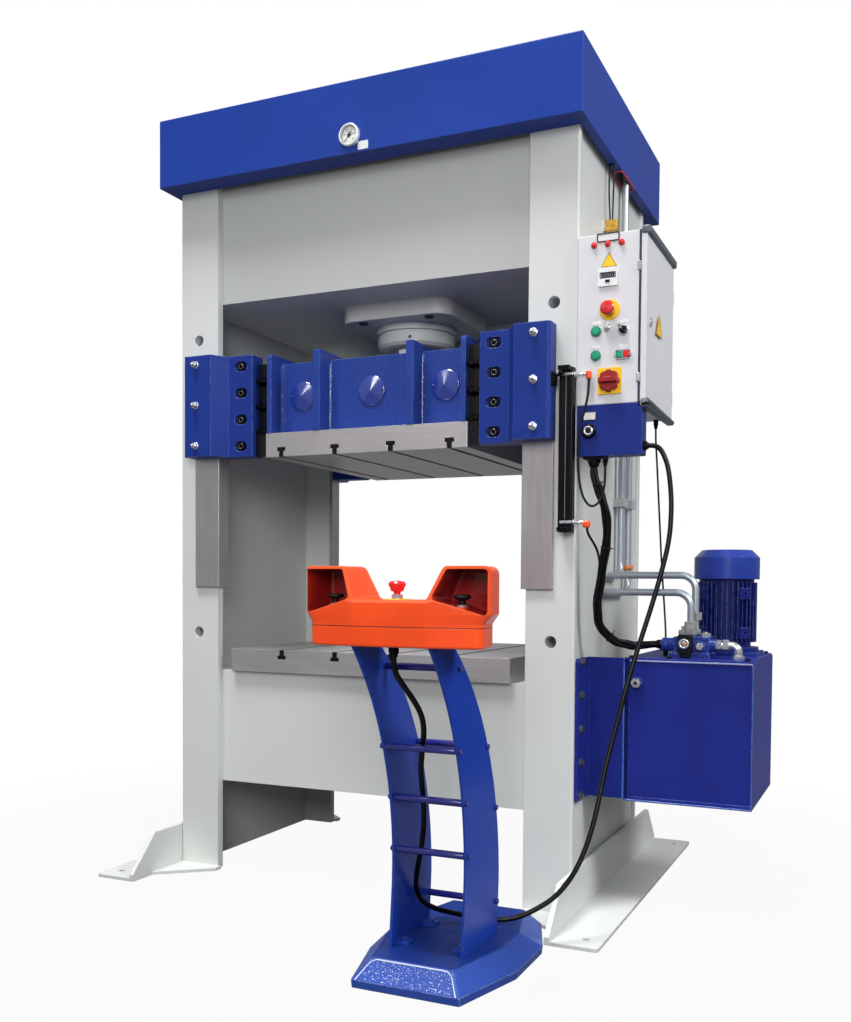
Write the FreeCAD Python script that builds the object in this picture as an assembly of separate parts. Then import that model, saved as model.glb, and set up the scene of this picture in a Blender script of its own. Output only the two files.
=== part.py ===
import FreeCAD
import Part
import math
import os

# Hydraulic press with side-mounted tank, control cabinet and two-hand console.
# Millimetres. Origin on the floor, midway between the columns; X to the right,
# +Y towards the back, +Z up. The operator stands on the -Y side.

V = FreeCAD.Vector
X, Y, Z = V(1, 0, 0), V(0, 1, 0), V(0, 0, 1)

# ---- driving dimensions ----
frameHalfWidth = 700.0
frameHalfDepth = 400.0
flangeWidth = 150.0
flangeThick = 28.0
webThick = 20.0
webRecess = 10.0
columnTop = 2400.0
beamRecess = 26.0
crownBottom = 1915.0
bedBottom, bedTop = 300.0, 680.0

bolsterHalfWidth, bolsterHalfDepth, bolsterThick = 500.0, 395.0, 75.0
slotPositions = (-300.0, -100.0, 100.0, 300.0)
slotNeck, slotHead, slotHeadHigh, slotDeep = 18.0, 32.0, 13.0, 31.0

footLength, footWidth, footPlate, footHigh, footLeg = 1310.0, 150.0, 10.0, 140.0, 15.0
anchorX, anchorY, anchorHoleR = 800.0, 590.0, 11.0

ramPlateHalfWidth, ramPlateHalfDepth = 360.0, 401.0
ramPlateBottom, ramPlateTop = 1391.0, 1469.0
ramRibTop, ramPanelTop = 1728.0, 1706.0
ramPanelY, ramRibY, ramRibThick = 335.0, 404.0, 16.0
ramRibX = (-345.0, -166.0, 166.0, 345.0)
ramCapR = 48.0

railThick, railBottom, railTop = 12.0, 963.0, 1722.0
railOuterX, railInnerX, railInnerDeep = 635.0, 562.0, 46.0
gibBottom, gibTop = 1395.0, 1728.0
gibRunClear = 0.5

coverHalfWidth, coverFront, coverBack = 730.0, -480.0, 520.0
coverBottom, coverTop, coverSheet = 2293.0, 2515.0, 3.0

cylinderFlangeHalf, cylinderFlangeThick, cylinderNeckR = 200.0, 55.0, 140.0
rodR = 90.0

cabinetX = (702.0, 882.0)
cabinetY = (-410.0, -50.0)
cabinetZ = (1490.0, 1970.0)
doorThick, doorGap = 16.0, 3.0
latchY, latchZ = -370.0, 1719.0
hingeZ = (1560.0, 1870.0)
boxX, boxY, boxZ = (704.0, 892.0), (-410.0, -355.0), (1345.0, 1479.0)

tankX, tankY, tankZ = (812.0, 1187.0), (-260.0, 210.0), (332.0, 755.0)
tankSheet, lidThick = 5.0, 6.0
motorX, motorY, motorR = 1060.0, 60.0, 100.0
cowlZ = (999.0, 1090.0)
pipeR, pipeBend, pipeWall = 11.0, 45.0, 2.5
pressurePort, returnPort, gaugePort = (990.0, -85.0), (984.0, -125.0), (955.0, -85.0)
lineX, pressureY, returnY, returnTop = 712.0, 87.0, 185.0, 1636.0
wireX, wireY = 711.0, -86.0

pedestalX, pedestalBaseY, baseTop = 515.0, -843.0, 68.0
rungFront = ((-1058.0, 578.0), (-1012.0, 445.0), (-997.0, 312.0))
rungBack = ((-1060.0, 775.0), (-875.0, 565.0), (-811.0, 398.0), (-799.0, 149.0))
consoleFront, consoleBack = -1240.0, -1085.0
consoleBottom, consoleSeam, consoleTop = 831.0, 877.0, 938.0
hoodTop, hoodHalf, trayHalf, consoleMiddle = 1015.0, 241.0, 225.0, 93.0
hoodCrown, consoleTaper, consoleWall, hoodWall = 124.0, 28.0, 4.0, 7.0
palmOffset, palmY, palmFloor = 161.0, -1190.0, 924.0

# Devices on the cabinet's front face: (x, z) of each, and the way they point.
panelY = cabinetY[0]
out = V(0, -1, 0)
pilotX, pilotZ = (749.0, 788.0, 828.0), 1940.0
estopX, estopZ = 796.0, 1755.0
keyX, keyZ = 791.0, 1706.0
startX, startZ = 757.0, 1697.0
returnX, returnZ = 757.0, 1629.0
selectorX, selectorZ = 836.0, 1695.0
twinX, twinZ = 836.0, 1627.0
mainX, mainZ = 798.0, 1555.0

# Glands: base point, direction, cable radius and, where it is short, the length.
consoleGland = (V(892, -383, 1371), V(1, 0, 0), 9.0, 13.0)
valveGland = (V(748, -382, 1345), V(0, 0, -1), 13.0)
leadGland = (V(780, -378, 1345), V(0, 0, -1), 5.0)
floatGlands = ((V(858, -75, 1490), V(0, 0, -1), 5.0), (V(900, -82, 761), V(0, 0, 1), 5.0))
trayGland = (V(497, -1170, 831), V(0, 0, -1), 9.0)

nodes = {}


# ---- small tools ----
def box(x0, x1, y0, y1, z0, z1):
    return Part.makeBox(x1 - x0, y1 - y0, z1 - z0, V(x0, y0, z0))


def rod(radius, start, end):
    line = end - start
    return Part.makeCylinder(radius, line.Length, start, line)


def face(points):
    return Part.Face(Part.makePolygon(list(points) + [points[0]]))


def prismZ(outline, z0, z1):
    return face([V(x, y, z0) for x, y in outline]).extrude(V(0, 0, z1 - z0))


def prismY(outline, y0, y1):
    return face([V(x, y0, z) for x, z in outline]).extrude(V(0, y1 - y0, 0))


def prismX(outline, x0, x1):
    return face([V(x0, y, z) for y, z in outline]).extrude(V(x1 - x0, 0, 0))


def fuse(shapes):
    shapes = list(shapes)
    whole = shapes[0].fuse(shapes[1:]) if len(shapes) > 1 else shapes[0]
    return whole.removeSplitter()


def roundEdges(shape, radius, keep):
    edges = [e for e in shape.Edges if keep(e)]
    return shape.makeFillet(radius, edges) if edges else shape


def along(edge, direction):
    if not isinstance(edge.Curve, (Part.Line, Part.LineSegment)):
        return False
    line = edge.Vertexes[-1].Point - edge.Vertexes[0].Point
    return line.Length > 1e-6 and abs(line.normalize().dot(direction)) > 0.999


def roundedBox(x0, x1, y0, y1, z0, z1, radius, direction):
    return roundEdges(box(x0, x1, y0, y1, z0, z1), radius, lambda e: along(e, direction))


def mirrored(shape, normal):
    return shape.mirror(V(0, 0, 0), normal)


def hexPrism(acrossFlats, height, base, axis):
    """A hexagonal prism that stands on base and points along axis."""
    radius = acrossFlats / math.sqrt(3.0)
    corners = [V(radius * math.cos(math.radians(60 * k)), radius * math.sin(math.radians(60 * k)), 0)
               for k in range(6)]
    solid = face(corners).extrude(V(0, 0, height))
    solid.Placement = FreeCAD.Placement(base, FreeCAD.Rotation(Z, axis))
    return solid


def hexScrew(acrossFlats, headHigh, base, axis):
    """Hex head on a washer, standing on the face at base."""
    washer = Part.makeCylinder(acrossFlats * 0.92, 2.0, base, axis)
    return fuse([washer, hexPrism(acrossFlats, headHigh, base + axis * 2.0, axis)])


def socketScrew(radius, height, base, axis):
    """Round head with a hexagon socket."""
    head = Part.makeCylinder(radius, height, base, axis)
    return head.cut(hexPrism(radius * 1.05, height * 0.6, base + axis * (height * 0.4), axis))


def revolve(profile, centre, axis):
    """Turn a list of (radius, height) corners about an axis through centre."""
    solid = face([V(r, 0, h) for r, h in profile]).revolve(V(0, 0, 0), Z, 360)
    solid.Placement = FreeCAD.Placement(centre, FreeCAD.Rotation(Z, axis))
    return solid


def bentRoute(points, radius):
    """Straight runs joined by tangent arcs; radius is a number or one per bend."""
    radii = radius if isinstance(radius, (list, tuple)) else [radius] * (len(points) - 2)
    edges = []
    start = points[0]
    for before, corner, after, bend in zip(points, points[1:], points[2:], radii):
        inward = (corner - before).normalize()
        outward = (after - corner).normalize()
        half = inward.getAngle(outward) / 2.0
        cut = bend * math.tan(half)
        first = corner - inward * cut
        last = corner + outward * cut
        toCentre = (outward - inward).normalize()
        middle = corner + toCentre * (bend / math.cos(half) - bend)
        edges.append(Part.LineSegment(start, first).toShape())
        edges.append(Part.Arc(first, middle, last).toShape())
        start = last
    edges.append(Part.LineSegment(start, points[-1]).toShape())
    return Part.Wire(edges)


def tube(points, radius, bend, bore=0.0):
    route = bentRoute(points, bend)
    direction = (points[1] - points[0]).normalize()

    def sweep(r):
        ring = Part.Wire(Part.makeCircle(r, points[0], direction))
        return route.makePipeShell([ring], True, True)

    solid = sweep(radius)
    if bore:
        solid = solid.cut(sweep(bore))
    return solid, route.Length


def cordRadii(points, diameter):
    """Bend radii that keep each arc inside its two runs."""
    radii = []
    for before, corner, after in zip(points, points[1:], points[2:]):
        shorter = min((corner - before).Length, (after - corner).Length)
        half = (corner - before).getAngle(after - corner) / 2.0
        radii.append(0.45 * shorter / math.tan(half))
    if min(radii) < 2.0 * diameter:
        print("tight bend", round(min(radii), 1), "for diameter", diameter)
    return radii


def cord(name, points, diameter):
    radii = cordRadii(points, diameter)
    solid, length = tube(points, diameter / 2.0, radii)
    expected = math.pi * diameter ** 2 / 4.0 * length
    print(name, "length", round(length), "least radius", round(min(radii)),
          "lowest", round(solid.BoundBox.ZMin, 1), "volume ratio", round(solid.Volume / expected, 4))
    return solid


def tSlots(positions, y0, y1, surface, direction):
    """T-slot voids along Y that open at the surface height; direction points into the plate."""
    voids = []
    for x in positions:
        neckEnd = surface + direction * (slotDeep - slotHeadHigh)
        headEnd = surface + direction * slotDeep
        voids.append(box(x - slotNeck / 2, x + slotNeck / 2, y0, y1, *sorted((surface, neckEnd))))
        voids.append(box(x - slotHead / 2, x + slotHead / 2, y0, y1, *sorted((neckEnd, headEnd))))
    return voids


# ---- welded frame ----
def column(side):
    """C-section column: front and back flanges on a recessed outer web."""
    w, d = frameHalfWidth, frameHalfDepth
    web = box(w - webRecess - webThick, w - webRecess, -d + flangeThick, d - flangeThick, 0, columnTop)
    flange = box(w - flangeWidth, w, -d, -d + flangeThick, 0, columnTop)
    flange = roundEdges(flange, 6.0, lambda e: along(e, Z) and e.Vertexes[0].X > w - 1)
    for z in (808.0, 1796.0):
        flange = flange.cut(rod(18.0, V(628, -d - 1, z), V(628, -d + flangeThick + 1, z)))
    backFlange = mirrored(flange, Y)
    shape = fuse([web, flange, backFlange])
    return shape if side > 0 else mirrored(shape, X)


def crownBeam():
    """Box beam with the cylinder seat bored through its bottom plate."""
    w = frameHalfWidth - flangeWidth
    inner = frameHalfDepth - flangeThick
    y = frameHalfDepth - beamRecess
    innerX = frameHalfWidth - webRecess - webThick
    front = box(-w, w, -y, -y + flangeThick, crownBottom, columnTop)
    back = mirrored(front, Y)
    bottom = box(-w, w, -y + flangeThick, y - flangeThick, crownBottom, crownBottom + 40)
    ends = box(w, innerX, -inner, inner, crownBottom, crownBottom + 40)
    top = box(-w, w, -y + flangeThick, y - flangeThick, columnTop - 28, columnTop)
    ribs = [box(x - 10, x + 10, -y + flangeThick, y - flangeThick, crownBottom + 40, columnTop - 28)
            for x in (-260, 260)]
    bore = rod(cylinderNeckR + 1, V(0, 0, crownBottom - 1), V(0, 0, columnTop + 1))
    return fuse([front, back, bottom, ends, mirrored(ends, X), top] + ribs).cut(bore)


def bedBeam():
    """Box beam that carries the bolster, with the space under it left open."""
    w = frameHalfWidth - flangeWidth
    inner = frameHalfDepth - flangeThick
    y = frameHalfDepth - beamRecess
    innerX = frameHalfWidth - webRecess - webThick
    front = box(-w, w, -y, -y + flangeThick, bedBottom, bedTop)
    back = mirrored(front, Y)
    top = box(-w, w, -y + flangeThick, y - flangeThick, bedTop - 40, bedTop)
    ends = box(w, innerX, -inner, inner, bedTop - 40, bedTop)
    bottom = box(-w, w, -y + flangeThick, y - flangeThick, bedBottom, bedBottom + 25)
    ribs = [box(x - 10, x + 10, -y + flangeThick, y - flangeThick, bedBottom + 25, bedTop - 40)
            for x in (-200, 200)]
    return fuse([front, back, top, ends, mirrored(ends, X), bottom] + ribs)


def feet():
    """Angle foot along each column's outer side, with sloped leg ends and a toe plate."""
    half = footLength / 2
    w = frameHalfWidth
    plate = box(w, w + footWidth, -half, half, 0, footPlate)
    plate = roundEdges(plate, 12.0, lambda e: along(e, Z) and e.Vertexes[0].X > w + 1)
    leg = prismX([(-half, 0), (half, 0), (half, 22), (half - 112, footHigh),
                  (-half + 112, footHigh), (-half, 22)], w, w + footLeg)
    toe = prismZ([(w, -560), (w, -frameHalfDepth), (w - 162, -frameHalfDepth),
                  (w - 162, -frameHalfDepth - 30)], 0, footPlate)
    foot = fuse([plate, leg, toe, mirrored(toe, Y)])
    for y in (-anchorY, anchorY):
        foot = foot.cut(rod(anchorHoleR, V(anchorX, y, -1), V(anchorX, y, footPlate + 1)))
    return Part.Compound([foot, mirrored(foot, X)])


def bolsterPlate():
    w, d = bolsterHalfWidth, bolsterHalfDepth
    top = bedTop + bolsterThick
    plate = box(-w, w, -d, d, bedTop, top)
    plate = plate.makeChamfer(2.0, [e for e in plate.Edges if along(e, Z)])
    return plate.cut(tSlots(slotPositions, -d - 1, d + 1, top, -1))


def guideRails():
    """Hardened angle rails screwed to the inner corner of each column flange."""
    d = frameHalfDepth
    inner = frameHalfWidth - flangeWidth
    front = box(railInnerX, railOuterX, -d - railThick, -d, railBottom, railTop)
    side = box(inner - railThick, inner, -d - railThick, -d + railInnerDeep, railBottom, railTop)
    corner = box(inner, railInnerX, -d - railThick, -d, railBottom, railTop)
    rail = fuse([front, side, corner])
    rail = rail.makeChamfer(1.5, [e for e in rail.Edges if along(e, Z) and e.Vertexes[0].Y < -d - 1])
    rails = [rail, mirrored(rail, X)]
    rails += [mirrored(r, Y) for r in rails]
    return Part.Compound(rails)


def crownCover():
    """Folded sheet cover with a return flange and an edged hole for the pressure line."""
    w, s = coverHalfWidth, coverSheet
    outer = box(-w, w, coverFront, coverBack, coverBottom, coverTop)
    outer = roundEdges(outer, 5.0, lambda e: along(e, Z) or e.Vertexes[0].Z > coverTop - 1
                       and e.Vertexes[-1].Z > coverTop - 1)
    inner = box(-w + s, w - s, coverFront + s, coverBack - s, coverBottom + s, coverTop - s)
    fit = 1.0
    mouth = box(-frameHalfWidth - fit, frameHalfWidth + fit, -frameHalfDepth - fit,
                frameHalfDepth + fit, coverBottom - 1, coverBottom + s + 1)
    lineHole = box(frameHalfWidth, frameHalfWidth + 27, -10, 110, coverBottom - 1, coverBottom + s + 1)
    wireHole = rod(9.0, V(wireX, wireY, coverBottom - 1), V(wireX, wireY, coverBottom + s + 1))
    gaugeHole = rod(29.0, V(-4, coverFront - 1, 2346), V(-4, coverFront + s + 1, 2346))
    return outer.cut([inner, mouth, lineHole, wireHole, gaugeHole])


def pressureGauge():
    """Case with a stepped bezel, a recessed dial and a needle post."""
    centre = V(-4, coverFront, 2346)
    case = revolve([(0, -30), (27, -30), (27, 0), (34, 0), (34, 12), (31, 14), (29, 14), (29, 6),
                    (3, 6), (3, 7.5), (0, 7.5)], centre, V(0, -1, 0))
    stem = rod(8.0, centre + V(0, 29, 0), centre + V(0, 52, 0))
    return fuse([case, stem])


def gaugeNeedle():
    centre = V(-4, coverFront - 8.0, 2346)
    blade = prismY([(-1.6, -9), (1.6, -9), (0.7, 24), (-0.7, 24)], 0, -1.2)
    blade.Placement = FreeCAD.Placement(centre, FreeCAD.Rotation(Y, -40))
    cap = rod(4.0, centre, centre + V(0, -2.4, 0))
    return fuse([blade, cap])


# ---- cylinder ----
def cylinderBody():
    """Flanged barrel hung under the crown, with the gland ring below a joint groove."""
    h, r = cylinderFlangeHalf, cylinderNeckR
    low = crownBottom - cylinderFlangeThick
    flange = roundedBox(-h, h, -h, h, low, crownBottom, 60.0, Z)
    flange = roundEdges(flange, 4.0, lambda e: abs(e.BoundBox.ZMax - low) < 0.01)
    barrel = rod(r, V(0, 0, low - 1), V(0, 0, 2380))
    cap = revolve([(0, 2380), (r, 2380), (r, 2412), (r - 12, 2424), (0, 2424)], V(0, 0, 0), Z)
    gland = revolve([(rodR + 0.3, low - 72), (r - 16, low - 72), (r - 6, low - 62), (r - 6, low - 30),
                     (r - 9, low - 28), (r - 9, low - 24), (r, low - 22), (r, low), (rodR + 0.3, low)],
                    V(0, 0, 0), Z)
    body = fuse([flange, barrel, cap])
    bore = rod(rodR + 20, V(0, 0, low), V(0, 0, 2392))
    body = body.cut(bore).cut(rod(rodR + 0.3, V(0, 0, low - 2), V(0, 0, low + 1)))
    body = fuse([body, gland])
    for x in (-122.0, 122.0):
        for y in (-1, 1):
            seat = rod(17.0, V(x, y * 165.0, low - 1), V(x, y * 165.0, low + 14))
            body = body.cut(seat)
    return body.cut(rod(6.0, V(35, -r, low - 50), V(35, -r + 30, low - 50)))


def cylinderScrews():
    low = crownBottom - cylinderFlangeThick
    return [socketScrew(15.0, 18.0, V(x, y, low + 14), V(0, 0, -1))
            for x in (-122.0, 122.0) for y in (-165.0, 165.0)]


def pistonRod():
    """Polished rod with the piston head inside the barrel and a clamp collar on the ram."""
    collar = revolve([(0, ramPanelTop), (132, ramPanelTop), (132, ramPanelTop + 24),
                      (124, ramPanelTop + 32), (0, ramPanelTop + 32)], V(0, 0, 0), Z)
    shaft = rod(rodR, V(0, 0, ramPanelTop), V(0, 0, 2320))
    piston = rod(rodR + 19.5, V(0, 0, 2300), V(0, 0, 2380))
    return fuse([collar, shaft, piston])


# ---- ram and its guides ----
def ramBody():
    """Ribbed block: four full-depth ribs stand proud of the recessed front and back panels."""
    z0, outer = ramPlateTop, ramRibX[-1] + ramRibThick / 2
    core = box(-outer + 2, outer - 2, -ramPanelY, ramPanelY, z0, ramPanelTop)
    ribs = []
    for x in ramRibX:
        rib = prismX([(-ramRibY, z0), (ramRibY, z0), (ramRibY, ramRibTop - 10), (ramRibY - 10, ramRibTop),
                      (-ramRibY + 10, ramRibTop), (-ramRibY, ramRibTop - 10)],
                     x - ramRibThick / 2, x + ramRibThick / 2)
        fillets = []
        for side in (-1, 1):
            edge = x + side * ramRibThick / 2
            if abs(edge) < outer - 1:
                for y in (-ramPanelY, ramPanelY):
                    out = y + math.copysign(10, y)
                    fillets.append(prismZ([(edge, y), (edge + side * 10, y), (edge, out)],
                                          z0, ramPanelTop - 6))
        ribs += [rib] + fillets
    body = fuse([core] + ribs)
    pocket = rod(150.0, V(0, 0, ramPanelTop), V(0, 0, ramRibTop + 1))
    return body.cut(pocket)


def ramPlate():
    w, d = ramPlateHalfWidth, ramPlateHalfDepth
    plate = box(-w, w, -d, d, ramPlateBottom, ramPlateTop)
    plate = plate.makeChamfer(2.0, [e for e in plate.Edges if along(e, Z)])
    voids = tSlots(slotPositions, -d - 1, d + 1, ramPlateBottom, 1)
    return plate.cut(voids)


def ramCaps():
    """Shallow conical pressed covers, two small screws each, on both faces of the ram."""
    caps = []
    for x in (-258.0, 0.0, 258.0):
        centre = V(x, -ramPanelY, 1596)
        cap = revolve([(0, 0), (ramCapR, 0), (ramCapR, 3), (ramCapR - 3, 5), (6, 12), (0, 13)],
                      centre, V(0, -1, 0))
        for side in (-1, 1):
            cap = cap.fuse(rod(3.2, centre + V(side * 41, -4, 0), centre + V(side * 41, -9, 0)))
        caps += [cap, mirrored(cap, Y)]
    return Part.Compound(caps)


def gibBlock():
    """Front right guide block: outer plate over the flange, inner block beside it."""
    d, t, c = frameHalfDepth, railThick, gibRunClear
    inner = frameHalfWidth - flangeWidth
    outline = [(403, -415), (496, -415), (530, -470), (632, -470), (640, -462), (640, -d - t - c),
               (inner - t - c, -d - t - c), (inner - t - c, -d + railInnerDeep), (403, -d + railInnerDeep)]
    block = prismZ(outline, gibBottom, gibTop)
    for z in gibScrewZ():
        seat = fuse([box(439, 457, -416, -403, z - 16, z + 16),
                     rod(16.0, V(439, -416, z), V(439, -403, z)),
                     rod(16.0, V(457, -416, z), V(457, -403, z))])
        block = block.cut(seat)
    return block


def gibScrewZ():
    return [1430.0 + k * 87.7 for k in range(4)]


def fourCorners(shape):
    pair = [shape, mirrored(shape, X)]
    return pair + [mirrored(s, Y) for s in pair]


def gibWing():
    """Ram wing that the inner guide blocks bolt to."""
    outer = ramRibX[-1] + ramRibThick / 2
    return box(outer - 2, 470, -frameHalfDepth + railInnerDeep, -250, ramPlateTop, gibTop - 30)


def gibAdjusters():
    """Studs with locknuts on the outer plate, and hex jack screws beside the ram."""
    parts = []
    for z in (1431.0, 1564.5, 1698.0):
        base = V(590, -470, z)
        nut = hexScrew(24.0, 13.0, base, V(0, -1, 0))
        stud = revolve([(0, 0), (8, 0), (8, 20), (5, 24), (0, 25)], base, V(0, -1, 0))
        parts.append(fuse([nut, stud]))
    return Part.Compound([s for p in parts for s in fourCorners(p)])


def gibScrews():
    parts = [socketScrew(14.5, 11.0, V(448, -403, z), V(0, -1, 0)) for z in gibScrewZ()]
    edge = ramRibX[-1] + ramRibThick / 2
    for z in (1478.0, 1561.5, 1645.0):
        y = -385.0
        head = hexPrism(24.0, 14.0, V(edge + 9, y, z), X)
        shank = rod(8.0, V(edge, y, z), V(403, y, z))
        lock = hexPrism(24.0, 10.0, V(edge + 30, y, z), X)
        parts.append(fuse([head, shank, lock]))
    return Part.Compound([s for p in parts for s in fourCorners(p)])


# ---- position transducer on the right column ----
transducerX, transducerZ = (657.0, 699.0), (1128.0, 1598.0)


def positionTransducer():
    """Grooved profile with two end caps, standing on two feet."""
    x0, x1 = transducerX
    z0, z1 = transducerZ
    y = -frameHalfDepth
    profile = roundedBox(x0, x1, y - 38, y - 6, z0, z1, 4.0, Z)
    grooves = [box(x0 + 12, x0 + 18, y - 39, y - 33, z0 + 14, z1 - 14),
               box(x1 - 18, x1 - 12, y - 39, y - 33, z0 + 14, z1 - 14)]
    pads = [box(x0 + 6, x1 - 6, y - 6, y, z, z + 30) for z in (z0 + 40, z1 - 70)]
    return fuse([profile.cut(grooves)] + pads)


def transducerArms():
    """Plated connector stubs with angled plugs at both ends of the profile."""
    arms = []
    for z in (transducerZ[0] + 34, transducerZ[1] - 14):
        y = -frameHalfDepth - 22
        stub = rod(7.0, V(transducerX[1], y, z), V(732, y, z))
        plug = roundedBox(732, 750, y - 9, y + 9, z - 20, z + 9, 4.0, X)
        arms.append(fuse([stub, plug]))
    return Part.Compound(arms)


def cursorArm():
    """Arm with a ball joint from the ram guide to the transducer's cursor."""
    y = -frameHalfDepth - 54
    bracket = box(640, 648, y - 8, y + 30, 1548, 1584)
    link = rod(4.0, V(648, y, 1566), V(668, y, 1580))
    ball = Part.makeSphere(8.0, V(668, y, 1580))
    cursor = box(660, 694, y - 6, y + 14, 1588, 1600)
    post = rod(5.0, V(668, y, 1580), V(668, y, 1590))
    return fuse([bracket, link, ball, post, cursor])


# ---- electrical cabinet ----

def cabinetBody():
    x0, x1 = cabinetX
    y0, y1 = cabinetY
    z0, z1 = cabinetZ
    shell = roundedBox(x0, x1, y0, y1, z0, z1, 3.0, X)
    shell = shell.cut(box(x0 + 2, x1 + 1, y0 + 2, y1 - 2, z0 + 2, z1 - 2))
    lip = box(x1 - 14, x1, y0 + 2, y1 - 2, z0 + 2, z1 - 2).cut(
        box(x1 - 15, x1 + 1, y0 + 16, y1 - 16, z0 + 16, z1 - 16))
    standoffs = [box(frameHalfWidth - webRecess, x0, y - 15, y + 15, z - 15, z + 15)
                 for y in (y0 + 60, y1 - 60) for z in (z0 + 50, z1 - 50)]
    holes = [rod(radius, V(x, panelY - 1, z), V(x, panelY + 3, z)) for x, z, radius in (
        (startX, startZ, 11.5), (returnX, returnZ, 11.5), (selectorX, selectorZ, 11.5),
        (estopX, estopZ, 8.5), (mainX, mainZ, 14.0))]
    holes += twinHoles(panelY - 1, panelY + 3)
    return fuse([shell, lip] + standoffs).cut(holes)


def twinHoles(y0, y1):
    return [box(twinX + side * 11 - 9.5, twinX + side * 11 + 9.5, y0, y1, twinZ - 10.5, twinZ + 10.5)
            for side in (-1, 1)]


def cabinetChassis():
    """Mounting plate with two device rails and a row of devices on each."""
    x0 = cabinetX[0] + 14
    y0, y1 = cabinetY
    z0, z1 = cabinetZ
    plate = box(x0, x0 + 3, y0 + 25, y1 - 25, z0 + 25, z1 - 25)
    spacers = [box(cabinetX[0] + 2, x0, y - 6, y + 6, z - 6, z + 6)
               for y in (y0 + 40, y1 - 40) for z in (z0 + 40, z1 - 40)]
    solids = [plate] + spacers
    for z, widths, deep in ((1840, (45, 45, 60, 30, 30), 75), (1690, (22, 22, 22, 45, 45, 30), 60),
                            (1560, (12,) * 16, 45)):
        solids.append(box(x0 + 3, x0 + 11, y0 + 35, y1 - 35, z - 17, z + 17))
        y = y0 + 55
        for width in widths:
            solids.append(box(x0 + 11, x0 + 11 + deep, y, y + width - 1.5, z - 40, z + 40))
            y += width
    return fuse(solids)


def cabinetHinges():
    """Hinge pins in barrels at the rear edge and two clamps at the front edge."""
    x1 = cabinetX[1]
    solids = []
    pinX = x1 + doorGap + doorThick / 2
    pinY = cabinetY[1] + 8
    for z in hingeZ:
        pin = rod(4.0, V(pinX, pinY, z - 22), V(pinX, pinY, z + 22))
        foot = box(x1 - 12, x1, cabinetY[1], cabinetY[1] + 12, z - 30, z - 22)
        ear = box(x1, pinX + 4, pinY - 4, pinY + 4, z - 30, z - 22)
        solids.append(fuse([pin, foot, ear]))
        clamp = box(x1 - 8, x1 + 2.5, cabinetY[0] - 5, cabinetY[0], z - 12, z + 12)
        solids.append(clamp)
    return Part.Compound(solids)


def cabinetDoor():
    """Folded tray door with a latch hole and two hinge barrels."""
    x0 = cabinetX[1] + doorGap
    x1 = x0 + doorThick
    y0, y1 = cabinetY
    z0, z1 = cabinetZ
    tray = roundedBox(x0, x1, y0, y1, z0, z1, 3.0, X)
    tray = tray.cut(box(x0 - 1, x1 - 2, y0 + 2, y1 - 2, z0 + 2, z1 - 2))
    seals = [roundedBox(x0 + 1, x1 + 5, y0 - 1, y1, z, z + 9, 3.5, Y) for z in (z0 - 9, z1)]
    barrels = []
    pinX, pinY = x0 + doorThick / 2, y1 + 8
    for z in hingeZ:
        knuckle = fuse([rod(8.0, V(pinX, pinY, z - 21), V(pinX, pinY, z + 21)),
                        box(pinX - 8, pinX + 8, y1 - 1, pinY, z - 21, z + 21)])
        barrels.append(knuckle.cut(rod(4.1, V(pinX, pinY, z - 23), V(pinX, pinY, z + 23))))
    hole = rod(9.1, V(x0 - 1, latchY, latchZ), V(x1 + 1, latchY, latchZ))
    return fuse([tray] + seals + barrels).cut(hole)


def doorLatch():
    """Quarter-turn lock barrel with a cam behind the door."""
    x1 = cabinetX[1] + doorGap + doorThick
    base = V(x1 - 8, latchY, latchZ)
    barrel = revolve([(0, 0), (9, 0), (9, 8.3), (13, 8.3), (13, 12), (10, 14), (0, 14)], base, X)
    barrel = barrel.cut(box(x1 + 3, x1 + 8, latchY - 1.5, latchY + 1.5, latchZ - 7, latchZ + 7))
    cam = box(x1 - 11, x1 - 8, latchY - 8, latchY + 8, latchZ - 9, latchZ + 30)
    return fuse([barrel, cam])


def panelPlates():
    """Blank name plates: panel header, small legends, junction box and crown plates."""
    y = panelY
    solids = [box(760, 818, y - 1.5, y, 1950, 1968)]
    for x, z in ((startX, startZ), (selectorX, selectorZ), (returnX, returnZ), (twinX, twinZ)):
        solids.append(box(x - 13, x + 13, y - 0.8, y, z + 19, z + 28))
    solids.append(box(724, 758, boxY[0] - 1.0, boxY[0], 1449, 1470))
    solids.append(box(23, 58, coverFront - 1.0, coverFront, 2299, 2324))
    return Part.Compound(solids)


def pilotLights():
    lights = [revolve([(0, 0), (9, 0), (9, 3), (7.5, 3.5), (7, 8), (4, 10.5), (0, 11)],
                      V(x, panelY, pilotZ), out) for x in pilotX]
    return Part.Compound(lights)


def counterUnit():
    """Flush counter with a recessed display window and a small reset key."""
    unit = roundedBox(762, 818, panelY - 6, panelY, 1821, 1873, 3.0, Y)
    unit = unit.cut(box(768, 812, panelY - 7, panelY - 3, 1845, 1859))
    return fuse([unit, box(784, 796, panelY - 9, panelY - 6, 1832, 1838)])


def yellowPlates():
    """Emergency-stop discs, the main switch plate and a blank triangle."""
    y = panelY
    disc = revolve([(13, 0), (29, 0), (29, 1.2), (28, 2), (13, 2)], V(estopX, y, estopZ), out)
    plate = roundedBox(mainX - 34, mainX + 34, y - 4, y, mainZ - 37, mainZ + 37, 4.0, Y)
    plate = plate.cut(rod(14.0, V(mainX, y + 1, mainZ), V(mainX, y - 5, mainZ)))
    triangle = prismY([(769, 1876), (815, 1876), (792, 1916)], y - 1, y)
    consoleDisc = revolve([(13, 0), (31, 0), (31, 1.2), (30, 2), (13, 2)],
                          V(pedestalX, palmY, consoleTop), Z)
    return Part.Compound([disc, plate, triangle, consoleDisc])


def ring(x, z, outer, inner, high):
    return revolve([(inner, 0), (outer, 0), (outer, high - 1), (outer - 1, high), (inner, high)],
                   V(x, panelY, z), out)


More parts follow.
